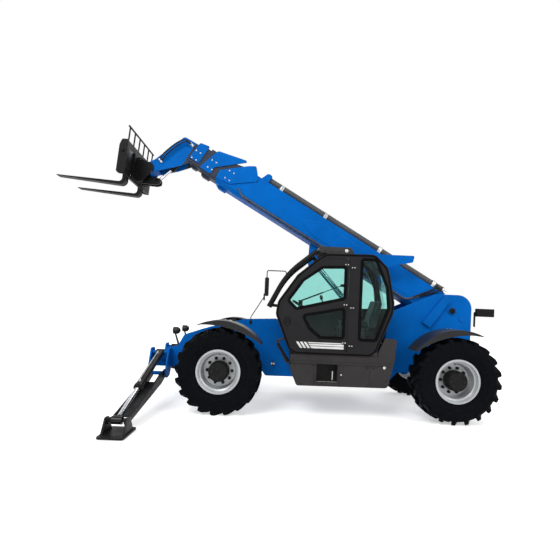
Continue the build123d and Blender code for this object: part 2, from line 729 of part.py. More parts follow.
# Forks hung on the shaft, with rounded heels
fork_back = 250.0
fork_heel = 303.0
fork_tip = 12.0
with BuildPart() as forks:
    for s in (1, -1):
        with BuildSketch(tool_side(s * fork_spacing / 2 + fork_width / 2)):
            polygon([(fork_back, shaft_w), (shaft_u + 30, shaft_w), (fork_heel, fork_thickness - fork_drop, 60),
                     (fork_reach, fork_tip - fork_drop), (fork_reach, -fork_drop), (fork_back, -fork_drop, 90)])
            with Locations((shaft_u, shaft_w)):
                Circle(58)
                Circle(shaft_r + running_clear, mode=Mode.SUBTRACT)
        extrude(amount=fork_width)
finish(forks, "forks")


def build_stabiliser(s, name):
    """Leg, cylinder and pad of one stabiliser; s is the side."""
    pin_z = pad_clear + pad_pin_height
    drop = leg_pivot_z - pin_z
    run = (leg_length ** 2 - drop ** 2) ** 0.5
    x = fx + leg_pivot_x
    pivot = (x, s * leg_pivot_y, leg_pivot_z)
    out = (0, s * run / leg_length, -drop / leg_length)
    leg_half = 112.0
    plane = Plane(origin=(x - s * leg_half, pivot[1], pivot[2]), x_dir=out, z_dir=(s, 0, 0))
    with BuildPart() as leg:
        with BuildSketch(plane):
            polygon([(-60, 60, 45), (260, 75, 250), (700, 20, 300), (leg_length - 120, -15, 200),
                     (leg_length + 30, 40, 25), (leg_length + 50, -30, 30), (leg_length, -60, 40),
                     (leg_length - 160, -75, 200), (200, -95, 250), (-60, -60, 45)])
        extrude(amount=2 * leg_half)
        with BuildSketch(plane.offset(20)):
            polygon([(-100, 120), (leg_length + 100, 120), (leg_length + 100, -120), (leg_length - 230, -120),
                     (leg_length - 230, -58), (200, -75), (90, -120), (-100, -120)])
        extrude(amount=2 * leg_half - 40, mode=Mode.SUBTRACT)
        with BuildSketch(plane):
            Circle(30 + running_clear)
            with Locations((leg_length, 0)):
                Circle(25 + running_clear)
        extrude(amount=2 * leg_half, mode=Mode.SUBTRACT)
    finish(leg, f"stabiliser_leg_{name}")
    tip = (x, pivot[1] + s * run, pin_z)
    build_cylinder((x, s * cyl_pivot_y, cyl_pivot_z), tip, (1, 0, 0), 55, 32, 50, 30, 60, 0.6, f"stabiliser_{name}")
    with BuildPart() as pad:
        with BuildSketch(Plane.XY.offset(pad_clear)):
            with Locations((x, tip[1])):
                RectangleRounded(320, 460, 40)
        extrude(amount=22)
        for gx in (x - leg_half - 28, x + leg_half + 6):
            with BuildSketch(Plane(origin=(gx, tip[1], 0), x_dir=(0, 1, 0), z_dir=(1, 0, 0))):
                polygon([(-150, pad_clear + 22), (150, pad_clear + 22), (45, pin_z + 35, 30), (-45, pin_z + 35, 30)])
            extrude(amount=22)
        for a, b in ((x - leg_half - 30, x - leg_half + 34), (x + leg_half - 34, x + leg_half + 30)):
            with BuildSketch(Plane(origin=(a, tip[1], pin_z), x_dir=(0, 1, 0), z_dir=(1, 0, 0))):
                Circle(25)
            extrude(amount=b - a)
    finish(pad, f"stabiliser_pad_{name}")


build_stabiliser(1, "left")
build_stabiliser(-1, "right")

# Cab shell: side profile hollowed, with door opening, windows, screen cut and the pillar's hinge knuckles
pillar_front = -1843.0
hinge_r = 14.0
hinge_clear = 1.5
hinge_l = 40.0
leaf_l = 80.0
leaf_t = 8.0
hinge_heights = (1100.0, 1650.0, 2230.0)
hinge_x = cab_x + pillar_front
roof_front = (-1503.0, 2401.0)
roof_rear = (-2199.0, 2413.0)
brow_rear = (-2389.0, 2230.0)
brow_front = (-1389.0, 2338.0)
sill_low = (-998.0, cab_floor_z + 62)
sill_high = (-794.0, 1501.0)
screen_foot = (-820.0, 1684.0)
cab_points = from_cab([
    roof_front, roof_rear, brow_rear, (-2428, 2083), (-2501, 1721), (-2491, 1571), (-2274, cab_floor_z + 82),
    (-2194, cab_floor_z), (-1100, cab_floor_z), sill_low, sill_high, screen_foot, (-1085, 2077), brow_front])
quarter_points = from_cab([
    (-2002, 1165), (-2262, 1165), (-2428, 1640), (-2395, 1950), (-2222, 2345), (-2002, 2345)])
right_points = from_cab([
    (-1060, 1200), (-2240, 1200), (-2405, 1660), (-2370, 1960), (-2200, 2320), (-1460, 2320), (-1120, 2020),
    (-900, 1680), (-900, 1560)])
cab_mid_t = cab_outer - cab_inner
door_inset = 65.0
with BuildPart() as cab_shell:
    with BuildSketch(side(cab_outer)):
        polygon(cab_points, cab_round)
    extrude(amount=cab_mid_t)
    with BuildSketch(side(cab_outer - cab_wall)):
        polygon(cab_points, cab_round)
        offset(amount=-cab_wall, kind=Kind.INTERSECTION, mode=Mode.REPLACE)
    extrude(amount=cab_mid_t - 2 * cab_wall, mode=Mode.SUBTRACT)
    with BuildSketch(side(cab_outer)):
        polygon(cab_points, cab_round)
        offset(amount=-door_inset, kind=Kind.INTERSECTION, mode=Mode.REPLACE)
        with Locations((hinge_x - 1000, 1700)):
            Rectangle(2000, 2000, mode=Mode.SUBTRACT)
    extrude(amount=cab_wall, mode=Mode.SUBTRACT)
    with BuildSketch(side(cab_outer)):
        polygon(quarter_points, 60)
    extrude(amount=cab_wall, mode=Mode.SUBTRACT)
    with BuildSketch(side(cab_inner + cab_wall)):
        polygon(right_points, 40)
    extrude(amount=cab_wall, mode=Mode.SUBTRACT)
    with BuildSketch(side(cab_outer - 70)):
        polygon(from_cab([(-700, 1530), (-700, 1700), (-1010, 2140), (-1340, 2420), (-1460, 2300), (-900, 1640),
                          (-900, 1530)]))
        polygon(from_cab([(-2600, 1640), (-2600, 2100), (-2440, 2180), (-2340, 2140), (-2400, 1640)]))
    extrude(amount=cab_mid_t - 140, mode=Mode.SUBTRACT)
    for z in hinge_heights:
        with BuildSketch(Plane.XY.offset(z - hinge_l)):
            with Locations((hinge_x, cab_outer)):
                Circle(hinge_r)
            with Locations((hinge_x - leaf_l / 2, cab_outer + leaf_t / 2)):
                Rectangle(leaf_l, leaf_t)
        extrude(amount=hinge_l)
        with BuildSketch(Plane.XY.offset(z)):
            with Locations((hinge_x, cab_outer)):
                Circle(hinge_r + hinge_clear)
        extrude(amount=hinge_l + 2 * hinge_clear, mode=Mode.SUBTRACT)
finish(cab_shell, "cab_shell")

# Cab glass: quarter pane, right pane, front screen, rear pane
glass_t = 6.0
with BuildPart() as cab_glass:
    with BuildSketch(side(cab_outer - 20)):
        polygon(quarter_points, 60)
    extrude(amount=glass_t)
    with BuildSketch(side(cab_inner + 26)):
        polygon(right_points, 40)
    extrude(amount=glass_t)
    with BuildSketch(side(cab_outer - 70)):
        polygon(from_cab([(-815, 1530), (-836, 1680), (-1098, 2069), (-1377, 2308), (-1383, 2303), (-1104, 2065),
                          (-843, 1679), (-822, 1530)]))
        polygon(from_cab([(-2480, 1640), (-2482, 1721), (-2408, 2084), (-2384, 2150), (-2378, 2148),
                          (-2402, 2083), (-2476, 1721), (-2474, 1640)]))
    extrude(amount=cab_mid_t - 140)
finish(cab_glass, "cab_glass")

# Cab door with two windows, handle and hinge knuckles, and its glass
door_t = 40.0
door_out = cab_outer - 6
handle_proud = 16.0
upper_window = from_cab([(-1445, 2208), (-1792, 2222), (-1792, 1755), (-1089, 1579), (-959, 1703), (-1170, 2010)])
lower_window = from_cab([(-1175, 1502), (-1792, 1626), (-1792, 1179), (-1438, 1179), (-1283, 1305)])
with BuildPart() as cab_door:
    with BuildSketch(side(door_out)):
        polygon(cab_points, cab_round)
        offset(amount=-door_inset - seal_gap, kind=Kind.INTERSECTION, mode=Mode.REPLACE)
        with Locations((hinge_x + seal_gap - 1000, 1700)):
            Rectangle(2000, 2000, mode=Mode.SUBTRACT)
    extrude(amount=door_t)
    with BuildSketch(side(cab_outer)):
        polygon(upper_window, 40)
        polygon(lower_window, 40)
    extrude(amount=2 * door_t, mode=Mode.SUBTRACT)
    with BuildSketch(side(door_out + handle_proud)):
        with Locations((cab_x - 972, 1409)):
            Ellipse(32, 55)
    extrude(amount=handle_proud)
    for z in hinge_heights:
        with BuildSketch(Plane.XY.offset(z - hinge_l - hinge_clear)):
            with Locations((hinge_x, cab_outer)):
                Circle(hinge_r + hinge_clear)
        extrude(amount=hinge_l + 2 * hinge_clear, mode=Mode.SUBTRACT)
        with BuildSketch(Plane.XY.offset(z + hinge_clear)):
            with Locations((hinge_x, cab_outer)):
                Circle(hinge_r)
            with Locations((hinge_x + leaf_l / 2, door_out + leaf_t / 2)):
                Rectangle(leaf_l, leaf_t)
        extrude(amount=hinge_l - hinge_clear)
finish(cab_door, "cab_door")
with BuildPart() as door_glass:
    with BuildSketch(side(cab_outer - 18)):
        polygon(upper_window, 40)
        polygon(lower_window, 40)
    extrude(amount=glass_t)
finish(door_glass, "door_glass")

# Cab base with step recess and tread, and a grab rail that ends on the cab's front
base_out = cab_outer - 10
base_front = -1034.0
step_low = 535.0
step_high = cab_floor_z - 128
step_in_x = -1570.0
step_l = 305.0
step_deep = 200.0
rail_r = 16.0
rail_y = cab_outer - 110
rail_stand = 110.0
front_run = hypot(sill_high[0] - sill_low[0], sill_high[1] - sill_low[1])
rail_top = along_line(sill_low, sill_high, 0.3)
rail_bend = (rail_top[0] + rail_stand * (sill_high[1] - sill_low[1]) / front_run,
             rail_top[1] - rail_stand * (sill_high[0] - sill_low[0]) / front_run)
rail_points = from_cab([rail_top, rail_bend, (-974, cab_floor_z - 123), (base_front - 40, cab_floor_z - 173)])
with BuildPart() as cab_base:
    with BuildSketch(side(base_out)):
        polygon([*from_cab([(base_front, cab_floor_z), (base_front - 10, 682, 60), (base_front - 101, 480, 40)]),
                 *from_rear([(1004, 490, 60), (920, 877, 60), (902, cab_floor_z)])])
    extrude(amount=base_out - chassis_half)
    with BuildSketch(side(base_out)):
        with Locations((cab_x + step_in_x, (step_low + step_high) / 2)):
            Rectangle(step_l, step_high - step_low)
    extrude(amount=step_deep, mode=Mode.SUBTRACT)
    with BuildSketch(side(base_out)):
        with Locations((cab_x + step_in_x, step_low + 5)):
            Rectangle(step_l, 10)
    extrude(amount=step_deep)
    for piece in tube_pieces([(x, rail_y, z) for x, z in rail_points], rail_r):
        add(piece)
finish(cab_base, "cab_base")

# Seat and controls
cab_centre = (cab_inner + cab_outer) / 2
floor_top = cab_floor_z + cab_wall
seat_z = floor_top + 330
with BuildPart() as seat_base:
    with BuildSketch(Plane.XY.offset(floor_top)):
        with Locations((cab_x - 1930, cab_centre)):
            RectangleRounded(380, 420, 30)
    extrude(amount=seat_z - floor_top)
finish(seat_base, "seat_base")
with BuildPart() as seat_cushion:
    with BuildSketch(side(cab_centre + 240)):
        polygon(from_cab([(-1740, seat_z, 30), (-2190, seat_z), (-2290, seat_z + 17, 30), (-2400, seat_z + 447, 40),
                          (-2300, seat_z + 477, 40), (-2180, seat_z + 127, 60), (-1740, seat_z + 117, 50)]))
    extrude(amount=480)
finish(seat_cushion, "seat_cushion")
with BuildPart() as dash:
    with BuildSketch(side(cab_outer - cab_wall - 120)):
        polygon(from_cab([(-1150, floor_top), (-1310, floor_top), (-1160, 1480), (-1010, 1500), (-920, 1440)]))
    extrude(amount=cab_mid_t - 2 * cab_wall - 240)
    column = Plane(origin=(cab_x - 1120, cab_centre, 1480), x_dir=(0, 1, 0), z_dir=(-0.5, 0, 0.866))
    with BuildSketch(column):
        Circle(30)
    extrude(amount=150)
    with BuildSketch(column.offset(150)):
        Circle(180)
        Circle(155, mode=Mode.SUBTRACT)
        Rectangle(320, 40)
    extrude(amount=26)
finish(dash, "dash")

# Roof guard tray, screen guard tubes on feet, left mirror on its wire arm
roof_share = [(x - roof_front[0]) / (roof_rear[0] - roof_front[0]) for x in (-1550, -1910)]
roof_feet = [along_line(roof_front, roof_rear, share) for share in roof_share]
with BuildPart() as roof_guard:
    with BuildSketch(side(cab_outer - 60)):
        polygon(from_cab([roof_feet[0], (-1430, 2425, 12), (-1367, 2511, 20), (-1860, 2506, 30), roof_feet[1]]))
    extrude(amount=cab_mid_t - 120)
finish(roof_guard, "roof_guard")
guard_tube = 34.0
guard_line = [(-1357, 2434), (-938, 2090), (-690, 1600)]
high_foot = [along_line(brow_front, roof_front, share) for share in (0.18, 0.62)]
low_foot = [along_line(sill_high, screen_foot, share) for share in (0.54, 0.76)]
with BuildPart() as screen_guard:
    for y in (cab_outer - 35, cab_inner + 35):
        for piece in tube_pieces([(x, y, z) for x, z in from_cab(guard_line)], guard_tube):
            add(piece)
        with BuildSketch(side(y + 6)):
            polygon(from_cab([*high_foot, (-1380, 2455), (-1330, 2412)]))
            polygon(from_cab([*low_foot, (-705, 1650), (-695, 1605)]))
        extrude(amount=12)
    with BuildSketch(side(cab_outer - 10)):
        with Locations((cab_x - 650, 1890)):
            RectangleRounded(60, 270, 20)
    extrude(amount=160)
    with BuildSketch(side(cab_outer - 28)):
        polygon(from_cab([(-640, 1990), (-640, 2130), (-930, 2130), (-930, 2090), (-920, 2116), (-655, 2116),
                          (-655, 1990)]))
    extrude(amount=15)
finish(screen_guard, "screen_guard")

# Engine pod with a rear bulkhead, bonnet hinged on it, and engine, on the right
pod_front = -1000.0
pod_rear = rx + 937 - fx
pod_top = 1050.0
pod_out = cab_outer - 20
bonnet_top = 1470.0
bulkhead_t = 24.0
lid_hinge_r = 12.0
lid_hinge_x = fx + pod_rear + bulkhead_t / 2
lid_hinge_z = bonnet_top - lid_hinge_r
lid_hinge_l = 60.0
lid_hinges = [-chassis_half - pod_out * share for share in (0.13, 0.36, 0.59)]
with BuildPart() as engine_pod:
    with BuildSketch(side(-chassis_half)):
        polygon(from_front([(pod_front, pod_top), (pod_front, 700, 60), (pod_front - 120, 485, 60),
                            (pod_rear + 70, 485, 60), (pod_rear, 800, 60), (pod_rear, pod_top)]))
    extrude(amount=pod_out - chassis_half)
    with BuildSketch(side(-chassis_half - 30)):
        polygon(from_front([(pod_front - 20, pod_top + 10), (pod_front - 20, 700, 40), (pod_front - 132, 510, 40),
                            (pod_rear + 86, 510, 40), (pod_rear + 20, 800, 40), (pod_rear + 20, pod_top + 10)]))
    extrude(amount=pod_out - chassis_half - 50, mode=Mode.SUBTRACT)
    with BuildSketch(side(-chassis_half - 30)):
        polygon(from_front([(pod_rear, pod_top - 20), (pod_rear, lid_hinge_z), (pod_rear + bulkhead_t, lid_hinge_z),
                            (pod_rear + bulkhead_t, pod_top - 20)]))
    extrude(amount=pod_out - chassis_half - 30)
    for y in lid_hinges:
        with BuildSketch(side(y + hinge_clear)):
            with Locations((lid_hinge_x, lid_hinge_z)):
                Circle(lid_hinge_r + hinge_clear)
        extrude(amount=lid_hinge_l + 2 * hinge_clear, mode=Mode.SUBTRACT)
        with BuildSketch(side(y + hinge_clear + lid_hinge_l)):
            with Locations((lid_hinge_x, lid_hinge_z)):
                Circle(lid_hinge_r)
        extrude(amount=lid_hinge_l)
finish(engine_pod, "engine_pod")
louvre_l = 320.0
louvre_w = 24.0
lid_rear = pod_rear + 30
with BuildPart() as bonnet:
    with BuildSketch(side(-chassis_half - 30)):
        polygon(from_front([(pod_front, pod_top + 6), (pod_front - 90, bonnet_top, 140), (lid_rear, bonnet_top),
                            (lid_rear, pod_top + 6)]))
    extrude(amount=pod_out - chassis_half - 30)
    with BuildSketch(side(-chassis_half - 50)):
        polygon(from_front([(pod_front - 20, pod_top), (pod_front - 108, bonnet_top - 20, 120),
                            (lid_rear + 20, bonnet_top - 20), (lid_rear + 20, pod_top)]))
    extrude(amount=pod_out - chassis_half - 70, mode=Mode.SUBTRACT)
    with BuildSketch(side(-pod_out + 30)):
        with Locations((fx + lid_rear + 300, pod_top + 240)):
            with GridLocations(0, 2 * louvre_w, 1, 6):
                Rectangle(louvre_l, louvre_w)
    extrude(amount=40, mode=Mode.SUBTRACT)
    for y in lid_hinges:
        with BuildSketch(side(y)):
            with Locations((lid_hinge_x, lid_hinge_z)):
                Circle(lid_hinge_r)
            polygon([(lid_hinge_x, lid_hinge_z), (lid_hinge_x, bonnet_top), (fx + lid_rear + 10, bonnet_top),
                     (fx + lid_rear + 10, lid_hinge_z)])
        extrude(amount=lid_hinge_l)
finish(bonnet, "bonnet")
engine_front = pod_front - 180
engine_rear = pod_rear + 390
with BuildPart() as engine:
    with BuildSketch(side(-chassis_half - 110)):
        polygon(from_front([(engine_front, 560), (engine_rear, 560), (engine_rear, 1100), (engine_rear + 90, 1250),
                            (engine_front - 150, 1250), (engine_front, 1100)]))
    extrude(amount=560)
    with BuildSketch(Plane.XY.offset(510)):
        with Locations((fx + engine_front - 320, -chassis_half - 200), (fx + engine_rear + 90, -chassis_half - 200),
                       (fx + engine_front - 320, -chassis_half - 580), (fx + engine_rear + 90, -chassis_half - 580)):
            Rectangle(120, 80)
    extrude(amount=55)
finish(engine, "engine")

# Rear mirror on its arm and a small round mirror on a stalk by the front lamps
mirror_x = rx - 343
mirror_y = 900.0
arm_r = 14.0
arm_z = boom_pivot_z - 221
stalk_y = chassis_half + 7
disc_r = 58.0
disc_y = cab_inner - seal_gap - disc_r
with BuildPart() as rear_mirror:
    with BuildSketch(Plane(origin=(mirror_x, 0, 0), x_dir=(0, -1, 0), z_dir=(-1, 0, 0))):
        with Locations((-mirror_y, arm_z + 207)):
            RectangleRounded(60, 120, 15)
    extrude(amount=rear_overhang - 343)
    for piece in tube_pieces([(mirror_x + 10, chassis_half, arm_z), (mirror_x + 10, mirror_y - 20, arm_z),
                              (mirror_x + 10, mirror_y - 20, arm_z + 200), (mirror_x - 12, mirror_y - 20, arm_z + 200)],
                             arm_r):
        add(piece)
    with BuildSketch(side(chassis_half + 14)):
        with Locations((fx - 389, 1335)):
            Rectangle(40, 50)
    extrude(amount=14)
    for piece in tube_pieces([(fx - 389, stalk_y, 1350), (fx - 389, stalk_y, 1420), (fx - 594, stalk_y, 1761)], 7):
        add(piece)
    with BuildSketch(across(fx - 606)):
        with Locations((disc_y, 1761)):
            Circle(disc_r)
    extrude(amount=24)
finish(rear_mirror, "rear_mirror")

# Lamps: round front lamps on stalks, side lamps, rear lamp boxes
lamp_y = chassis_half - 12
lamp_feet = [along_line(nose_high, nose_low, share) for share in (0.714, 0.905)]
with BuildPart() as lamps:
    for s in (1, -1):
        with BuildSketch(side(s * lamp_y + 10)):
            polygon(from_front([*lamp_feet, (850, 1100), (830, 1110)]))
        extrude(amount=20)
        with BuildSketch(Plane(origin=(fx + 800, s * lamp_y, 1150), x_dir=(0, 1, 0), z_dir=(1, 0, 0))):
            Circle(58)
        extrude(amount=70)
        with BuildSketch(Plane(origin=(fx - 780, s * chassis_half, 675), z_dir=(0, s, 0))):
            Rectangle(70, 40)
        extrude(amount=25)
        with BuildSketch(across(rx - 593)):
            with Locations((s * 250, 1050)):
                Rectangle(100, 200)
        extrude(amount=50)
finish(lamps, "lamps")

# Hose bracket plate behind the cab's roof
brow_feet = [along_line(roof_rear, brow_rear, share) for share in (0.27, 0.8)]
with BuildPart() as hose_bracket:
    with BuildSketch(side(cab_inner + 100)):
        polygon(from_cab([brow_feet[0], (brow_feet[0][0], 2515, 30), (-2993, 2515, 25), (-2966, 2407, 25),
                          (-2600, 2330, 120), (-2430, 2262, 40), brow_feet[1]]))
    extrude(amount=12)
finish(hose_bracket, "hose_bracket")
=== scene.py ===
"""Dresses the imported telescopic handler: finishes, lugged tyres, hoses, seat and small fittings."""

import json
import logging
import math
from dataclasses import dataclass, field
from enum import Enum
from typing import Dict, List, Optional, Sequence, Tuple

import bmesh
import bpy
from mathutils import Matrix, Vector


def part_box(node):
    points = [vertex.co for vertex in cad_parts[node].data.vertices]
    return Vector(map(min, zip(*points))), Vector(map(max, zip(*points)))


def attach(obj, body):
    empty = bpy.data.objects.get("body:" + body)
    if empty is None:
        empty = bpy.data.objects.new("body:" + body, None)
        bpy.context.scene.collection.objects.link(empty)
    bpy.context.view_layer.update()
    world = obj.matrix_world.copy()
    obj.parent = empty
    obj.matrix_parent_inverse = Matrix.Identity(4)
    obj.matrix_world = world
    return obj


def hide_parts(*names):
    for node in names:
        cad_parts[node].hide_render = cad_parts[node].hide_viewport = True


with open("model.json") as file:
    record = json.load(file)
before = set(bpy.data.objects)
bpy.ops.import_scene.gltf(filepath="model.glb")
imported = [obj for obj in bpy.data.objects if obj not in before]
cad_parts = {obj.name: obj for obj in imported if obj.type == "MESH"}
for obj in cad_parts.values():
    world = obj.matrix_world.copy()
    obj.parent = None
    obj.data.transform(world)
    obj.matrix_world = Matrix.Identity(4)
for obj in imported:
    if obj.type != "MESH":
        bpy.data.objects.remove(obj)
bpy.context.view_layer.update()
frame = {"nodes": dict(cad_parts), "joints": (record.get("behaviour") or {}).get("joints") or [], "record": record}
log = logging.getLogger("handler")

Point = Tuple[float, float, float]
Flat = Tuple[float, float]
Colour = Tuple[float, float, float]
Socket = bpy.types.NodeSocket

LEFTWARD: Point = (0, 1, 0)
FORWARD: Point = (1, 0, 0)
FAR = 99.0
WHITE: Colour = (1.0, 1.0, 1.0)
DUST_COLOUR: Colour = (0.23, 0.205, 0.17)
FILM_COLOUR: Colour = (0.5, 0.5, 0.46)
# Dark of the greased slide tracks, also used as painted shade in the gaps between boom collars.
GREASE_AND_SHADE_COLOUR: Colour = (0.045, 0.046, 0.048)
ROD_EYE_COLOUR: Colour = (0.0075, 0.0075, 0.008)


class Side(Enum):
    """The two sides of the machine."""

    LEFT = 1
    RIGHT = -1

    @property
    def word(self) -> str:
        """The side's name in lower case."""
        return self.name.lower()


class End(Enum):
    """The two axles of the machine."""

    FRONT = "front"
    REAR = "rear"


class Surface(Enum):
    """What a finish is made of, which sets how its shader is built."""

    PAINT = "paint"
    MOULDING = "moulding"
    RUBBER = "rubber"
    BARE_METAL = "bare_metal"
    GLASS = "glass"
    CLOTH = "cloth"
    LENS = "lens"


class Tree:
    """A node tree, built a node at a time."""

    def __init__(self, tree: bpy.types.NodeTree) -> None:
        """Take over a tree."""
        self.tree = tree

    def feed(self, place: Socket, value: object) -> None:
        """Link a socket to an input, or set the input's own value."""
        if isinstance(value, Socket):
            self.tree.links.new(value, place)
        elif place.type == "RGBA":
            place.default_value = (*value, 1.0)
        else:
            place.default_value = value

    def node(self, kind: str, **values: object) -> bpy.types.Node:
        """Add a node.

        Args:
            kind: The node's type name.
            values: Properties, input values, or sockets to link, by input name with _ for spaces.

        Returns:
            The node.
        """
        made = self.tree.nodes.new(kind)
        for key, value in values.items():
            if hasattr(made, key):
                setattr(made, key, value)
            else:
                self.feed(made.inputs[key.replace("_", " ")], value)
        return made

    def math(self, operation: str, *values: object) -> Socket:
        """One sum of values that are sockets or numbers.

        Args:
            operation: The Math node's operation.
            values: What it works on, in order.

        Returns:
            The result.
        """
        made = self.node("ShaderNodeMath", operation=operation)
        for place, value in zip(made.inputs, values):
            self.feed(place, value)
        return made.outputs[0]

    def vector_math(self, operation: str, first: Socket, second: object, output: str) -> Socket:
        """One sum of two vectors.

        Args:
            operation: The Vector Math node's operation.
            first: The first vector's socket.
            second: The second vector, a socket or a tuple.
            output: Which of the node's outputs holds the result.

        Returns:
            The result.
        """
        made = self.node("ShaderNodeVectorMath", operation=operation)
        self.feed(made.inputs[0], first)
        self.feed(made.inputs[1], second)
        return made.outputs[output]

    def span(self, value: Socket, low: Flat, high: Flat) -> Socket:
        """Map a value from one range to another, clamped.

        Args:
            value: The value to map.
            low: Where the value starts, and what it becomes there.
            high: Where the value ends, and what it becomes there.

        Returns:
            The mapped value.
        """
        made = self.node("ShaderNodeMapRange", Value=value, From_Min=low[0], To_Min=low[1],
                         From_Max=high[0], To_Max=high[1])
        return made.outputs["Result"]

    def seen_bare(self) -> Socket:
        """A value that is 1 for rays from the camera, off gloss and through glass."""
        path = self.node("ShaderNodeLightPath").outputs
        seen = self.math("MAXIMUM", path["Is Camera Ray"], path["Is Glossy Ray"])
        return self.math("MAXIMUM", seen, path["Is Transmission Ray"])


class Shader(Tree):
    """The node tree of one material."""

    def __init__(self, name: str) -> None:
        """Start an empty material.

        Args:
            name: The material's name.
        """
        self.material = bpy.data.materials.new(name)
        self.material.use_nodes = True
        super().__init__(self.material.node_tree)
        self.tree.nodes.clear()
        self.bsdf = self.node("ShaderNodeBsdfPrincipled")
        self.node("ShaderNodeOutputMaterial", Surface=self.bsdf.outputs["BSDF"])
        self.place = self.node("ShaderNodeTexCoord").outputs["Object"]

    def surface(self, **values: object) -> None:
        """Set or link the surface's inputs, by name with _ for spaces."""
        for key, value in values.items():
            self.feed(self.bsdf.inputs[key.replace("_", " ")], value)

    def noise(self, scale: float, detail: float = 3.0, stretch: Optional[Point] = None) -> Socket:
        """A noise pattern on Object coordinates.

        Args:
            scale: Features in a metre.
            detail: How much fine detail it has.
            stretch: Scale along each axis, where the pattern is drawn out.

        Returns:
            The pattern's factor.
        """
        start = self.place
        if stretch is not None:
            start = self.node("ShaderNodeMapping", Scale=stretch, Vector=self.place).outputs["Vector"]
        return self.node("ShaderNodeTexNoise", Scale=scale, Detail=detail, Vector=start).outputs["Fac"]

    def mix(self, share: Socket, first: object, second: object) -> Socket:
        """Mix two colours.

        Args:
            share: How much of the second one shows.
            first: A colour or a socket.
            second: A colour or a socket.

        Returns:
            The mixed colour.
        """
        made = self.node("ShaderNodeMix", data_type="RGBA", Factor=share)
        for key, value in (("A", first), ("B", second)):
            self.feed(next(s for s in made.inputs if s.name == key and s.type == "RGBA"), value)
        return next(s for s in made.outputs if s.type == "RGBA")

    def soft_edges(self, radius: float) -> Tuple[Socket, Socket]:
        """Rounded-edge normals and a mask of the edges.

        Args:
            radius: The edges' rounding in metres.

        Returns:
            The rounded normal, and a value that is 1 on edges.
        """
        normal = self.node("ShaderNodeBevel", samples=4, Radius=radius).outputs["Normal"]
        plain = self.node("ShaderNodeNewGeometry").outputs["Normal"]
        turned = self.vector_math("DOT_PRODUCT", normal, plain, "Value")
        return normal, self.span(turned, (0.995, 0.0), (0.86, 1.0))

    def bump(self, height: Socket, depth: float, normal: Optional[Socket] = None,
             strength: float = 1.0) -> None:
        """Bump the surface and finish its normal.

        Args:
            height: The height pattern, from 0 to 1.
            depth: The pattern's depth in metres.
            normal: The normal it starts from.
            strength: The bump's strength.
        """
        made = self.node("ShaderNodeBump", Distance=depth, Strength=strength, Height=height)
        if normal is not None:
            self.feed(made.inputs["Normal"], normal)
        self.surface(Normal=made.outputs["Normal"])


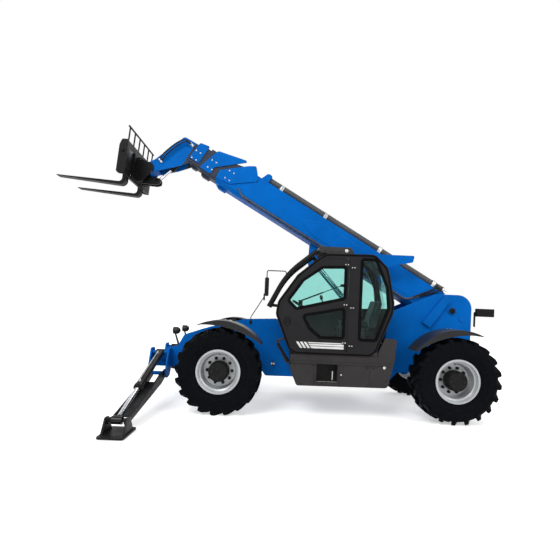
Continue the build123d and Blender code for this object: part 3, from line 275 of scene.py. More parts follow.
@dataclass(frozen=True)
class Finish:
    """One surface finish, with the record's slot that it belongs to."""

    name: str
    slot: str
    surface: Surface
    colour: Colour
    roughness: float
    metallic: float = 0.0
    dust: float = 0.0
    wear: float = 0.0
    wear_colour: Colour = (0.30, 0.30, 0.31)
    grain: float = 700.0
    grain_depth: float = 0.00012
    edge: float = 0.005
    shine: float = 0.2

    def material(self) -> bpy.types.Material:
        """The finish's material, made on first use."""
        known = bpy.data.materials.get(self.name)
        if known is not None:
            return known
        shader = Shader(self.name)
        shader.surface(Metallic=self.metallic, Specular_IOR_Level=self.shine)
        builders = {Surface.GLASS: self._glass, Surface.CLOTH: self._cloth, Surface.RUBBER: self._rubber,
                    Surface.LENS: self._lens}
        builders.get(self.surface, self._hard)(shader)
        return shader.material

    def _toned(self, shader: Shader) -> Socket:
        """The base colour with slow variation and dust that thickens toward the ground."""
        darker = tuple(c * 0.82 for c in self.colour)
        tone = shader.mix(shader.span(shader.noise(2.1), (0.35, 0.0), (0.65, 1.0)), self.colour, darker)
        if self.dust <= 0:
            return tone
        height = shader.node("ShaderNodeSeparateXYZ", Vector=shader.place).outputs["Z"]
        low = shader.span(height, (0.15, self.dust), (1.5, self.dust * 0.12))
        patch = shader.span(shader.noise(9.0, 5.0), (0.38, 0.15), (0.7, 1.0))
        return shader.mix(shader.math("MULTIPLY", low, patch), tone, DUST_COLOUR)

    def _hard(self, shader: Shader) -> None:
        """Paint, moulding and bare metal: fine grain, patchy gloss and edges rubbed pale."""
        normal, edges = shader.soft_edges(self.edge)
        colour = self._toned(shader)
        if self.wear > 0:
            chips = shader.span(shader.noise(46.0, 6.0), (0.5, 0.0), (0.62, self.wear))
            colour = shader.mix(shader.math("MULTIPLY", edges, chips), colour, self.wear_colour)
        gloss = shader.span(shader.noise(5.5, 6.0), (0.3, self.roughness * 0.82),
                            (0.72, min(1.0, self.roughness * 1.3)))
        shader.surface(Base_Color=colour, Roughness=gloss)
        shader.bump(shader.noise(self.grain, 2.0), self.grain_depth, normal, 0.5)

    def _rubber(self, shader: Shader) -> None:
        """Rubber: matt, dusty where it is low, with moulding grain and scuffs."""
        scuff = shader.span(shader.noise(30.0, 6.0), (0.55, 0.0), (0.75, 0.5))
        colour = shader.mix(scuff, self._toned(shader), tuple(c * 1.9 + 0.004 for c in self.colour))
        gloss = shader.span(shader.noise(14.0, 4.0), (0.3, self.roughness * 0.86),
                            (0.7, self.roughness * 1.1))
        shader.surface(Base_Color=colour, Roughness=gloss)
        shader.bump(shader.noise(self.grain, 4.0), self.grain_depth, None, 0.6)

    def _glass(self, shader: Shader) -> None:
        """Tinted safety glass with a faint film of dirt."""
        film = shader.span(shader.noise(7.0, 6.0), (0.45, 0.0), (0.8, 0.12))
        gloss = shader.span(shader.noise(11.0, 5.0), (0.4, self.roughness), (0.75, self.roughness + 0.06))
        shader.surface(Base_Color=shader.mix(film, self.colour, FILM_COLOUR), Roughness=gloss,
                       Transmission_Weight=1.0, IOR=1.22)

    def _cloth(self, shader: Shader) -> None:
        """Woven seat cloth: crossed threads, soft sheen and mottled tone."""
        threads = [shader.node("ShaderNodeTexWave", wave_type="BANDS", bands_direction=direction,
                               Scale=160.0, Distortion=1.2, Detail=1.0, Vector=shader.place).outputs["Fac"]
                   for direction in ("X", "Y", "Z")]
        weave = shader.math("MAXIMUM", shader.math("MULTIPLY", threads[0], threads[1]), threads[2])
        pale = tuple(c * 2.4 + 0.006 for c in self.colour)
        tone = shader.mix(shader.span(shader.noise(26.0, 5.0), (0.35, 0.0), (0.7, 0.6)), self.colour, pale)
        shader.surface(Base_Color=shader.mix(shader.span(weave, (0.2, 0.0), (1.0, 0.35)), tone, pale),
                       Roughness=self.roughness, Sheen_Weight=0.35)
        shader.bump(weave, 0.0006, None, 0.7)

    def _lens(self, shader: Shader) -> None:
        """Fluted lamp lens or coloured reflector, with the shine of a bright back painted into its flutes as pale
        bands.
        """
        flutes = shader.node("ShaderNodeTexWave", wave_type="BANDS", bands_direction="Y", Scale=34.0,
                             Vector=shader.place).outputs["Fac"]
        # Painted reflection: the paler colour in the flute bands stands in for light off a reflector behind the
        # lens.
        painted_reflector_shine = tuple(min(1.0, c * 1.5 + 0.05) for c in self.colour)
        shader.surface(Base_Color=shader.mix(flutes, self.colour, painted_reflector_shine), Roughness=self.roughness)
        shader.bump(flutes, 0.0015)

    @staticmethod
    def _tone_so_far(shader: Shader) -> Socket:
        """The colour that the surface has so far."""
        return shader.bsdf.inputs["Base Color"].links[0].from_socket


@dataclass(frozen=True)
class RodFinish(Finish):
    """Polished rod whose eye is painted: bright only up to a distance along a line."""

    start: Point = (0.0, 0.0, 0.0)
    along: Point = (1.0, 0.0, 0.0)
    until: float = 1.0

    def _hard(self, shader: Shader) -> None:
        """Chrome on the shaft and black paint on the eye."""
        super()._hard(shader)
        offset = shader.vector_math("SUBTRACT", shader.place, self.start, "Vector")
        reach = shader.vector_math("DOT_PRODUCT", offset, self.along, "Value")
        far = shader.math("GREATER_THAN", reach, self.until)
        shader.surface(Base_Color=shader.mix(far, self._tone_so_far(shader), ROD_EYE_COLOUR),
                       Metallic=shader.span(far, (0.0, 1.0), (1.0, 0.0)))


@dataclass(frozen=True)
class SlideFinish(Finish):
    """Boom paint with dark tracks on the section's own sides, behind its collar: grease, plus painted shade where
    the tube shows in the gap between collars.
    """

    half: float = 0.15
    until: float = FAR
    along: Point = (1.0, 0.0, 0.0)

    def _hard(self, shader: Shader) -> None:
        """Paint, with the sides that slide in the next section darkened by grease and by painted shade."""
        super()._hard(shader)
        across = shader.node("ShaderNodeSeparateXYZ", Vector=shader.place).outputs["Y"]
        inside = shader.span(shader.math("ABSOLUTE", across), (self.half + 0.002, 1.0),
                             (self.half + 0.005, 0.0))
        reach = shader.vector_math("DOT_PRODUCT", shader.place, self.along, "Value")
        behind = shader.math("LESS_THAN", reach, self.until)
        grease_and_shade_streaks = shader.span(shader.noise(18.0, 5.0, (1.0, 1.0, 4.0)), (0.2, 0.75), (0.6, 1.0))
        share = shader.math("MULTIPLY", shader.math("MULTIPLY", inside, behind), grease_and_shade_streaks)
        # The tube's sides go dark: partly grease, partly painted shade where the inner tube shows between collars.
        shader.surface(Base_Color=shader.mix(share, self._tone_so_far(shader), GREASE_AND_SHADE_COLOUR))


BLUE = Finish("blue_paint", "blue", Surface.PAINT, (0.0005, 0.119, 0.47), 0.4, dust=0.012, wear=0.4,
              shine=0.03)
LID_BLUE = Finish("lid_paint", "bonnet", Surface.PAINT, (0.0005, 0.119, 0.47), 0.42, dust=0.012, wear=0.3,
                  shine=0.03)
SHELL = Finish("cab_paint", "shell", Surface.PAINT, (0.0185, 0.0175, 0.019), 0.45, dust=0.02, wear=0.25,
               wear_colour=(0.12, 0.12, 0.12), shine=0.06)
COVER = Finish("skirt_moulding", "cover", Surface.MOULDING, (0.030, 0.028, 0.029), 0.55, dust=0.03,
               grain=420.0, grain_depth=0.0003, shine=0.1)
GUARD = Finish("guard_moulding", "guard", Surface.MOULDING, (0.013, 0.0135, 0.015), 0.42, dust=0.03,
               grain=380.0, grain_depth=0.0003, shine=0.2)
BLACK = Finish("black_paint", "black", Surface.PAINT, (0.006, 0.006, 0.0065), 0.4, dust=0.03, wear=0.5,
               shine=0.1, wear_colour=(0.18, 0.175, 0.17))
FORK_BLACK = Finish("fork_paint", "fork", Surface.PAINT, (0.007, 0.007, 0.0075), 0.42, wear=0.9, edge=0.008,
                    wear_colour=(0.24, 0.235, 0.23), shine=0.1)
CASTING = Finish("axle_casting", "iron", Surface.PAINT, (0.018, 0.018, 0.019), 0.6, dust=0.2, wear=0.2,
                 grain=180.0, grain_depth=0.0006)
ROOF_GREY = Finish("roof_paint", "grey", Surface.PAINT, (0.03, 0.03, 0.032), 0.45, dust=0.05, wear=0.25)
CHROME = Finish("rod_chrome", "steel", Surface.BARE_METAL, (0.72, 0.73, 0.75), 0.14, metallic=1.0,
                grain=240.0, grain_depth=0.00002, edge=0.002)
ZINC = Finish("zinc_plate", "steel", Surface.BARE_METAL, (0.55, 0.55, 0.53), 0.3, metallic=1.0, edge=0.001)
SILVER = Finish("rim_silver", "rim", Surface.PAINT, (0.44, 0.46, 0.47), 0.36, metallic=0.3, dust=0.08,
                wear=0.2, wear_colour=(0.2, 0.2, 0.2), shine=0.4)
STRIPE = Finish("stripe_white", "rim", Surface.PAINT, (0.78, 0.78, 0.77), 0.4, dust=0.05)
RUBBER = Finish("tyre_rubber", "tyre", Surface.RUBBER, (0.0024, 0.0030, 0.0042), 0.6, dust=0.005,
                grain=260.0, grain_depth=0.0006, shine=0.03)
SEAL = Finish("seal_rubber", "pipe", Surface.RUBBER, (0.0035, 0.0035, 0.004), 0.4, grain=900.0,
              grain_depth=0.0001, shine=0.03)
HOSE = Finish("hose_rubber", "pipe", Surface.RUBBER, (0.007, 0.007, 0.0075), 0.5, grain=900.0,
              grain_depth=0.0002)
SLEEVE = Finish("sleeve_grey", "pipe", Surface.RUBBER, (0.075, 0.077, 0.08), 0.55, grain=600.0,
                grain_depth=0.0002)
PAD = Finish("slide_pad", "pipe", Surface.RUBBER, (0.014, 0.014, 0.015), 0.45, grain=300.0,
             grain_depth=0.0002)
GLASS = Finish("cab_glass_tint", "glass", Surface.GLASS, (0.54, 0.84, 0.80), 0.015)
MIRROR = Finish("mirror_face", "steel", Surface.BARE_METAL, (0.82, 0.83, 0.84), 0.05, metallic=1.0,
                grain_depth=0.000005, edge=0.001)
CLOTH = Finish("seat_cloth", "fabric", Surface.CLOTH, (0.010, 0.010, 0.011), 0.85)
LAMP = Finish("lamp_housing", "lamp", Surface.MOULDING, (0.012, 0.012, 0.013), 0.3, grain=500.0)
CLEAR_LENS = Finish("lens_clear", "glass", Surface.LENS, (0.62, 0.64, 0.65), 0.12)
RED_LENS = Finish("lens_red", "lamp", Surface.LENS, (0.38, 0.008, 0.008), 0.2)
AMBER_LENS = Finish("lens_amber", "lamp", Surface.LENS, (0.6, 0.16, 0.008), 0.2)

NODE_FINISH: Dict[str, Finish] = {"blue": BLUE, "bonnet": LID_BLUE, "shell": SHELL, "cover": COVER,
                                  "guard": GUARD, "black": BLACK, "fork": FORK_BLACK, "iron": CASTING,
                                  "grey": ROOF_GREY, "steel": CHROME, "rim": SILVER, "tyre": RUBBER,
                                  "pipe": SLEEVE, "glass": GLASS, "fabric": CLOTH, "lamp": LAMP}


def put(name: str, data: bpy.types.ID) -> bpy.types.Object:
    """Add an object with this data to the scene."""
    made = bpy.data.objects.new(name, data)
    bpy.context.scene.collection.objects.link(made)
    return made


def evaluated(thing: bpy.types.Object) -> bpy.types.Mesh:
    """The mesh of an object with its modifiers or its curve worked out."""
    return bpy.data.meshes.new_from_object(thing.evaluated_get(bpy.context.evaluated_depsgraph_get()))


def fit(name: str, mesh: bpy.types.Mesh, finish: Finish, body: str, replaced: Sequence[str] = (),
        smooth: float = 35.0) -> bpy.types.Object:
    """Make a mesh a piece that rides on a body.

    Args:
        name: The piece's name.
        mesh: Its mesh, in the shared frame.
        finish: Its finish.
        body: The body it rides on.
        replaced: CAD nodes that it stands for.
        smooth: Edges flatter than this many degrees are shaded smooth.

    Returns:
        The piece.
    """
    mesh.name = name
    mesh.materials.clear()
    mesh.materials.append(finish.material())
    mesh.shade_smooth()
    mesh.set_sharp_from_angle(angle=math.radians(smooth))
    made = put(name, mesh)
    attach(made, body)
    if replaced:
        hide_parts(*replaced)
    log.info("%s rides on %s, %d faces", name, body, len(mesh.polygons))
    return made


def turns(count: int) -> List[float]:
    """Angles that share out a full turn."""
    return [2 * math.pi * k / count for k in range(count)]


def axes(origin: Point, x: Point, z: Point) -> Matrix:
    """A frame at a point, from its x and z directions."""
    out = Vector(z).normalized()
    right = (Vector(x) - out * Vector(x).dot(out)).normalized()
    grid = Matrix((right, out.cross(right), out)).transposed().to_4x4()
    grid.translation = Vector(origin)
    return grid


def corner_arc(before: Vector, corner: Vector, after: Vector, radius: float, most: float,
               steps: int) -> List[Vector]:
    """The rounded corner between two straight runs.

    Args:
        before: Where the first run starts.
        corner: The corner.
        after: Where the second run ends.
        radius: The corner's radius.
        most: The largest share of a run that the rounding takes.
        steps: Points in the corner.

    Returns:
        The corner's points.
    """
    into, out = before - corner, after - corner
    reach = min(radius / math.tan(into.angle(out) / 2), most * into.length, most * out.length)
    first, last = corner + into.normalized() * reach, corner + out.normalized() * reach
    shares = [k / steps for k in range(steps + 1)]
    return [first * (1 - t) ** 2 + corner * 2 * t * (1 - t) + last * t ** 2 for t in shares]


def bent(corners: Sequence[Point], radius: float, steps: int = 8) -> List[Vector]:
    """A path through corners with each bend rounded.

    Args:
        corners: The corners.
        radius: The bends' radius.
        steps: Points in a bend.

    Returns:
        The path's points.
    """
    points = [Vector(c) for c in corners]
    path = [points[0]]
    for run in zip(points, points[1:], points[2:]):
        path += corner_arc(*run, radius, 0.45, steps)
    return path + [points[-1]]


def rounded(points: Sequence[Flat], radius: float, steps: int = 6) -> List[Flat]:
    """An outline with its corners rounded.

    Args:
        points: The outline's corners.
        radius: The corners' radius.
        steps: Points in each corner.

    Returns:
        The rounded outline.
    """
    ring = [Vector((x, y, 0.0)) for x, y in points]
    made: List[Flat] = []
    for run in zip(ring[-1:] + ring[:-1], ring, ring[1:] + ring[:1]):
        made += [(p.x, p.y) for p in corner_arc(*run, radius, 0.48, steps)]
    return made


class Form:
    """A mesh drawn of basic shapes in the shared frame, in metres."""

    def __init__(self) -> None:
        """Start empty."""
        self.bm = bmesh.new()

    def loop(self, points: Sequence[Point]) -> List[bmesh.types.BMVert]:
        """New vertices at points."""
        return [self.bm.verts.new(p) for p in points]

    def skin(self, loops: Sequence[Sequence[bmesh.types.BMVert]], closed: bool = False,
             capped: bool = False) -> None:
        """Faces between loops of vertices, in order; a loop of one vertex is a pole.

        Args:
            loops: The loops.
            closed: Whether the last loop joins the first.
            capped: Whether the first and last loops are filled.
        """
        pairs = list(zip(loops, loops[1:]))
        if closed:
            pairs.append((loops[-1], loops[0]))
        for a, b in pairs:
            for k in range(max(len(a), len(b))):
                corners = [a[k % len(a)], a[(k + 1) % len(a)], b[(k + 1) % len(b)], b[k % len(b)]]
                self.bm.faces.new(list(dict.fromkeys(corners)))
        if capped:
            self.bm.faces.new(list(reversed(loops[0])))
            self.bm.faces.new(loops[-1])

    def tube(self, path: Sequence[Point], radius: float, sides: int = 16,
             radii: Optional[Sequence[float]] = None) -> None:
        """A round tube with closed ends along a path.

        Args:
            path: The centre line's points.
            radius: Its radius.
            sides: How many sides its section has.
            radii: A radius for each point, where it changes.
        """
        points = [Vector(p) for p in path]
        across = (points[1] - points[0]).normalized().orthogonal().normalized()
        rings = []
        for i, point in enumerate(points):
            along = (points[min(len(points) - 1, i + 1)] - points[max(0, i - 1)]).normalized()
            across = (across - along * across.dot(along)).normalized()
            up = along.cross(across)
            r = radii[i] if radii is not None else radius
            rings.append(self.loop([point + (across * math.cos(t) + up * math.sin(t)) * r
                                    for t in turns(sides)]))
        self.skin(rings, capped=True)

    def block(self, low: Point, high: Point, round_by: float = 0.004,
              place: Optional[Matrix] = None) -> None:
        """A box with rounded edges.

        Args:
            low: Its lowest corner.
            high: Its highest corner.
            round_by: How far its edges are rounded.
            place: Where the box's own frame lies.
        """
        part = bmesh.new()
        bmesh.ops.create_cube(part, size=1.0)
        size = Vector(high) - Vector(low)
        middle = (Vector(high) + Vector(low)) / 2
        for v in part.verts:
            v.co = Vector(a * b for a, b in zip(v.co, size)) + middle
        limit = min(abs(c) for c in size) * 0.45
        bmesh.ops.bevel(part, geom=part.edges, offset=min(round_by, limit), segments=2, affect="EDGES",
                        profile=0.5)
        self.take(part, place)

    def slab(self, outline: Sequence[Flat], thickness: float, place: Matrix,
             round_by: float = 0.002) -> None:
        """A plate of any outline, with its edges rounded.

        Args:
            outline: The outline in the plate's own x and y.
            thickness: Its thickness along its own z.
            place: Where the plate's own frame lies.
            round_by: How far its edges are rounded.
        """
        part = bmesh.new()
        face = part.faces.new([part.verts.new((x, y, 0.0)) for x, y in outline])
        grown = bmesh.ops.extrude_face_region(part, geom=[face])
        bmesh.ops.translate(part, vec=(0, 0, thickness),
                            verts=[g for g in grown["geom"] if hasattr(g, "co")])
        bmesh.ops.recalc_face_normals(part, faces=part.faces)
        if round_by > 0:
            rim = [e for e in part.edges if len({round(v.co.z, 6) for v in e.verts}) == 1]
            bmesh.ops.bevel(part, geom=rim, offset=round_by, segments=2, affect="EDGES", profile=0.5)
        self.take(part, place)

    def lathe(self, profile: Sequence[Flat], place: Matrix, steps: int = 96, closed: bool = False) -> None:
        """A turned form about its own z.

        Args:
            profile: Height and radius of each point, in order.
            place: Where the form's own frame lies.
            steps: How many steps it has round the axis.
            closed: Whether the profile closes on itself.
        """
        part = Form()
        rings = []
        for height, radius in profile:
            spread = turns(steps) if radius > 1e-6 else [0.0]
            rings.append(part.loop([(radius * math.cos(t), radius * math.sin(t), height) for t in spread]))
        part.skin(rings, closed)
        self.take(part.bm, place)

    def take(self, part: bmesh.types.BMesh, place: Optional[Matrix] = None) -> None:
        """Move another bmesh into this form and free it."""
        if place is not None:
            bmesh.ops.transform(part, matrix=place, verts=part.verts)
        spare = bpy.data.meshes.new("spare")
        part.to_mesh(spare)
        part.free()
        self.add(spare)

    def add(self, mesh: bpy.types.Mesh) -> None:
        """Move a mesh into this form and remove it."""
        self.bm.from_mesh(mesh)
        bpy.data.meshes.remove(mesh)

    def mesh(self, name: str) -> bpy.types.Mesh:
        """The form as a mesh with its faces outward; the form is freed."""
        mesh = bpy.data.meshes.new(name)
        bmesh.ops.recalc_face_normals(self.bm, faces=self.bm.faces)
        self.bm.to_mesh(mesh)
        self.bm.free()
        return mesh

    def piece(self, name: str, finish: Finish, body: str, replaced: Sequence[str] = (),
              smooth: float = 35.0) -> bpy.types.Object:
        """The form as a piece that rides on a body.

        Args:
            name: The piece's name.
            finish: Its finish.
            body: The body it rides on.
            replaced: CAD nodes that it stands for.
            smooth: Edges flatter than this many degrees are shaded smooth.

        Returns:
            The piece.
        """
        return fit(name, self.mesh(name), finish, body, replaced, smooth)


class Pattern(Tree):
    """A Geometry Nodes tree with named inputs, used once on a mesh and then baked to a plain one."""

    def __init__(self, name: str) -> None:
        """Start a tree that takes and gives geometry."""
        super().__init__(bpy.data.node_groups.new(name, "GeometryNodeTree"))
        self.values: Dict[str, object] = {}
        self.start = self.tree.nodes.new("NodeGroupInput")
        self.geometry = self.given("Geometry", "Geometry")
        self.tree.interface.new_socket("Geometry", in_out="OUTPUT", socket_type="NodeSocketGeometry")
        self.out = self.tree.nodes.new("NodeGroupOutput")

    def given(self, name: str, kind: str, value: object = None) -> Socket:
        """Add a named input.

        Args:
            name: The input's name.
            kind: Its socket type, without the prefix.
            value: Its value.

        Returns:
            The socket that gives it.
        """
        made = self.tree.interface.new_socket(name, in_out="INPUT", socket_type=f"NodeSocket{kind}")
        if value is not None:
            self.values[made.identifier] = value
        return self.start.outputs[name]

    def copies(self, points: Socket, form: Socket, turn: Optional[Socket] = None) -> Socket:
        """Copies of a form at points.

        Args:
            points: The points.
            form: What is copied.
            turn: Each copy's turn, as Euler angles.

        Returns:
            The copies.
        """
        made = self.node("GeometryNodeInstanceOnPoints", Points=points, Instance=form)
        if turn is not None:
            rotation = self.node("FunctionNodeEulerToRotation", Euler=turn)
            self.feed(made.inputs["Rotation"], rotation.outputs["Rotation"])
        return made.outputs["Instances"]

    def moved(self, form: Socket, by: Socket) -> Socket:
        """A form moved by a vector."""
        return self.node("GeometryNodeTransform", Geometry=form, Translation=by).outputs["Geometry"]

    def baked(self, mesh: bpy.types.Mesh, result: Socket, finish: Finish) -> bpy.types.Mesh:
        """End the tree in real geometry with its material, and run it on a mesh.

        Args:
            mesh: The mesh that it starts from.
            result: The tree's result.
            finish: The result's finish.

        Returns:
            The result, as a plain mesh.
        """
        material = self.given("Finish", "Material", finish.material())
        real = self.node("GeometryNodeRealizeInstances", Geometry=result).outputs["Geometry"]
        dressed = self.node("GeometryNodeSetMaterial", Geometry=real, Material=material)
        self.feed(self.out.inputs["Geometry"], dressed.outputs["Geometry"])
        blank = put("blank", mesh)
        modifier = blank.modifiers.new("pattern", "NODES")
        modifier.node_group = self.tree
        for key, value in self.values.items():
            modifier[key] = value
        made = evaluated(blank)
        blank.modifiers.remove(modifier)
        bpy.data.objects.remove(blank)
        return made


class Repeats:
    """Patterns that repeat a form: bolts at points, copies round an axle or along a line, ribbed sleeves."""

    @staticmethod
    def bolts(points: Sequence[Vector], outward: Point, head: float, finish: Finish) -> bpy.types.Mesh:
        """Hexagon bolts on washers.

        Args:
            points: Where they stand, on the surface.
            outward: Which way they point.
            head: The head's radius.
            finish: Their finish.

        Returns:
            Their mesh.
        """
        mesh = bpy.data.meshes.new("bolt_points")
        mesh.from_pydata([tuple(p) for p in points], [], [])
        tree = Pattern("bolts_at_points")
        radius = tree.given("Head Radius", "Float", head)
        turn = tree.given("Turn", "Vector", tuple(Vector(outward).to_track_quat("Z", "Y").to_euler()))
        height, wide, thin = (tree.math("MULTIPLY", radius, share) for share in (1.25, 1.45, 0.5))
        hexagon = tree.node("GeometryNodeMeshCylinder", Vertices=6, Radius=radius, Depth=height)
        lift = tree.node("ShaderNodeCombineXYZ", Z=thin)
        washer = tree.node("GeometryNodeMeshCylinder", Vertices=18, Radius=wide, Depth=thin)
        bolt = tree.node("GeometryNodeJoinGeometry")
        for part in (tree.moved(hexagon.outputs["Mesh"], lift.outputs["Vector"]), washer.outputs["Mesh"]):
            tree.feed(bolt.inputs["Geometry"], part)
        return tree.baked(mesh, tree.copies(tree.geometry, bolt.outputs["Geometry"], turn), finish)

    @staticmethod
    def round_axle(mesh: bpy.types.Mesh, count: int, centre: Point, finish: Finish,
                   shift: float = 0.0) -> bpy.types.Mesh:
        """Copies of a form round the Y axis.

        Args:
            mesh: The form, drawn about the axis at the origin.
            count: How many copies.
            centre: Where the axis is.
            finish: Their finish.
            shift: The first copy's turn, in copies.

        Returns:
            Their mesh.
        """
        tree = Pattern("copies_round_axle")
        dots = tree.node("GeometryNodePoints", Count=tree.given("Count", "Int", count))
        index = tree.node("GeometryNodeInputIndex").outputs["Index"]
        shifted = tree.math("ADD", index, tree.given("Shift", "Float", shift))
        angle = tree.math("MULTIPLY", shifted, tree.given("Step", "Float", 2 * math.pi / count))
        euler = tree.node("ShaderNodeCombineXYZ", Y=angle)
        placed = tree.copies(dots.outputs[0], tree.geometry, euler.outputs["Vector"])
        return tree.baked(mesh, tree.moved(placed, tree.given("Centre", "Vector", tuple(centre))), finish)

    @staticmethod
    def along_line(mesh: bpy.types.Mesh, count: int, step: Point, finish: Finish) -> bpy.types.Mesh:
        """Copies of a form along a straight line.

        Args:
            mesh: The form where the first copy stands.
            count: How many copies.
            step: From one copy to the next.
            finish: Their finish.

        Returns:
            Their mesh.
        """
        tree = Pattern("copies_along_line")
        line = tree.node("GeometryNodeMeshLine", Count=tree.given("Count", "Int", count),
                         Offset=tree.given("Step", "Vector", tuple(step)))
        return tree.baked(mesh, tree.copies(line.outputs["Mesh"], tree.geometry), finish)

    @staticmethod
    def ribbed_sleeve(start: Vector, end: Vector, radius: float, pitch: float,
                      finish: Finish) -> bpy.types.Mesh:
        """A corrugated sleeve between two points.

        Args:
            start: Its first end.
            end: Its other end.
            radius: Its largest radius.
            pitch: From one rib to the next.
            finish: Its finish.

        Returns:
            Its mesh.
        """
        mesh = bpy.data.meshes.new("sleeve_line")
        mesh.from_pydata([tuple(start), tuple(end)], [(0, 1)], [])
        tree = Pattern("ribbed_sleeve")
        count = tree.given("Points", "Int", 4 * int((end - start).length / pitch))
        line = tree.node("GeometryNodeMeshToCurve", Mesh=tree.geometry).outputs["Curve"]
        fine = tree.node("GeometryNodeResampleCurve", Curve=line, Count=count).outputs["Curve"]
        index = tree.node("GeometryNodeInputIndex").outputs["Index"]
        wave = tree.math("SINE", tree.math("MULTIPLY", index, math.pi / 2))
        swell = tree.span(wave, (-1.0, 0.9), (1.0, 1.0))
        ring = tree.node("GeometryNodeCurvePrimitiveCircle", Resolution=28,
                         Radius=tree.given("Radius", "Float", radius))
        skin = tree.node("GeometryNodeCurveToMesh", Curve=fine, Profile_Curve=ring.outputs["Curve"],
                         Scale=swell, Fill_Caps=True)
        return tree.baked(mesh, skin.outputs["Mesh"], finish)


def joint_point(name: str) -> Vector:
    """Where a joint of the record turns, in metres."""
    return next(Vector(j["pos_m"]) for j in frame["joints"] if j["name"] == name)


@dataclass
class Layout:
    """Where the machine's datums lie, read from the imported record."""

    front: Vector = field(default_factory=lambda: joint_point("steer_front_left"))
    rear: Vector = field(default_factory=lambda: joint_point("steer_rear_left"))
    pivot: Vector = field(default_factory=lambda: joint_point("boom_lift"))
    tool: Vector = field(default_factory=lambda: joint_point("carriage_tilt"))
    boom_angle: float = math.radians(30.0)
    fork_tilt: float = math.radians(6.0)
    boom_length: float = 4.48
    boom_half: float = 0.2
    plate_out: float = 0.34
    cab_outer: float = 1.15
    door_face: float = 1.144

    def boom(self, d: float, n: float, y: float) -> Vector:
        """A point in the boom's frame: along, up and to the left."""
        c, s = math.cos(self.boom_angle), math.sin(self.boom_angle)
        return Vector((self.pivot.x + d * c - n * s, y, self.pivot.z + d * s + n * c))

    def tool_at(self, u: float, w: float, y: float) -> Vector:
        """A point in the carriage's frame: along the forks, up and to the left."""
        c, s = math.cos(self.fork_tilt), math.sin(self.fork_tilt)
        return Vector((self.tool.x + u * c - w * s, y, self.tool.z + u * s + w * c))

    def cab(self, x: float, z: float, y: float) -> Vector:
        """A point given from the front axle, as the cab's outline is."""
        return Vector((self.front.x + x, y, z))

    def side_face(self, y: float) -> Matrix:
        """A frame on a side face: x ahead of the front axle, y up from the ground, z to the right."""
        return axes((self.front.x, y, 0.0), FORWARD, (0, -1, 0))

    @property
    def boom_along(self) -> Vector:
        """The boom's direction."""
        return Vector((math.cos(self.boom_angle), 0.0, math.sin(self.boom_angle)))

    @property
    def boom_up(self) -> Vector:
        """Up from the boom."""
        return Vector((-math.sin(self.boom_angle), 0.0, math.cos(self.boom_angle)))


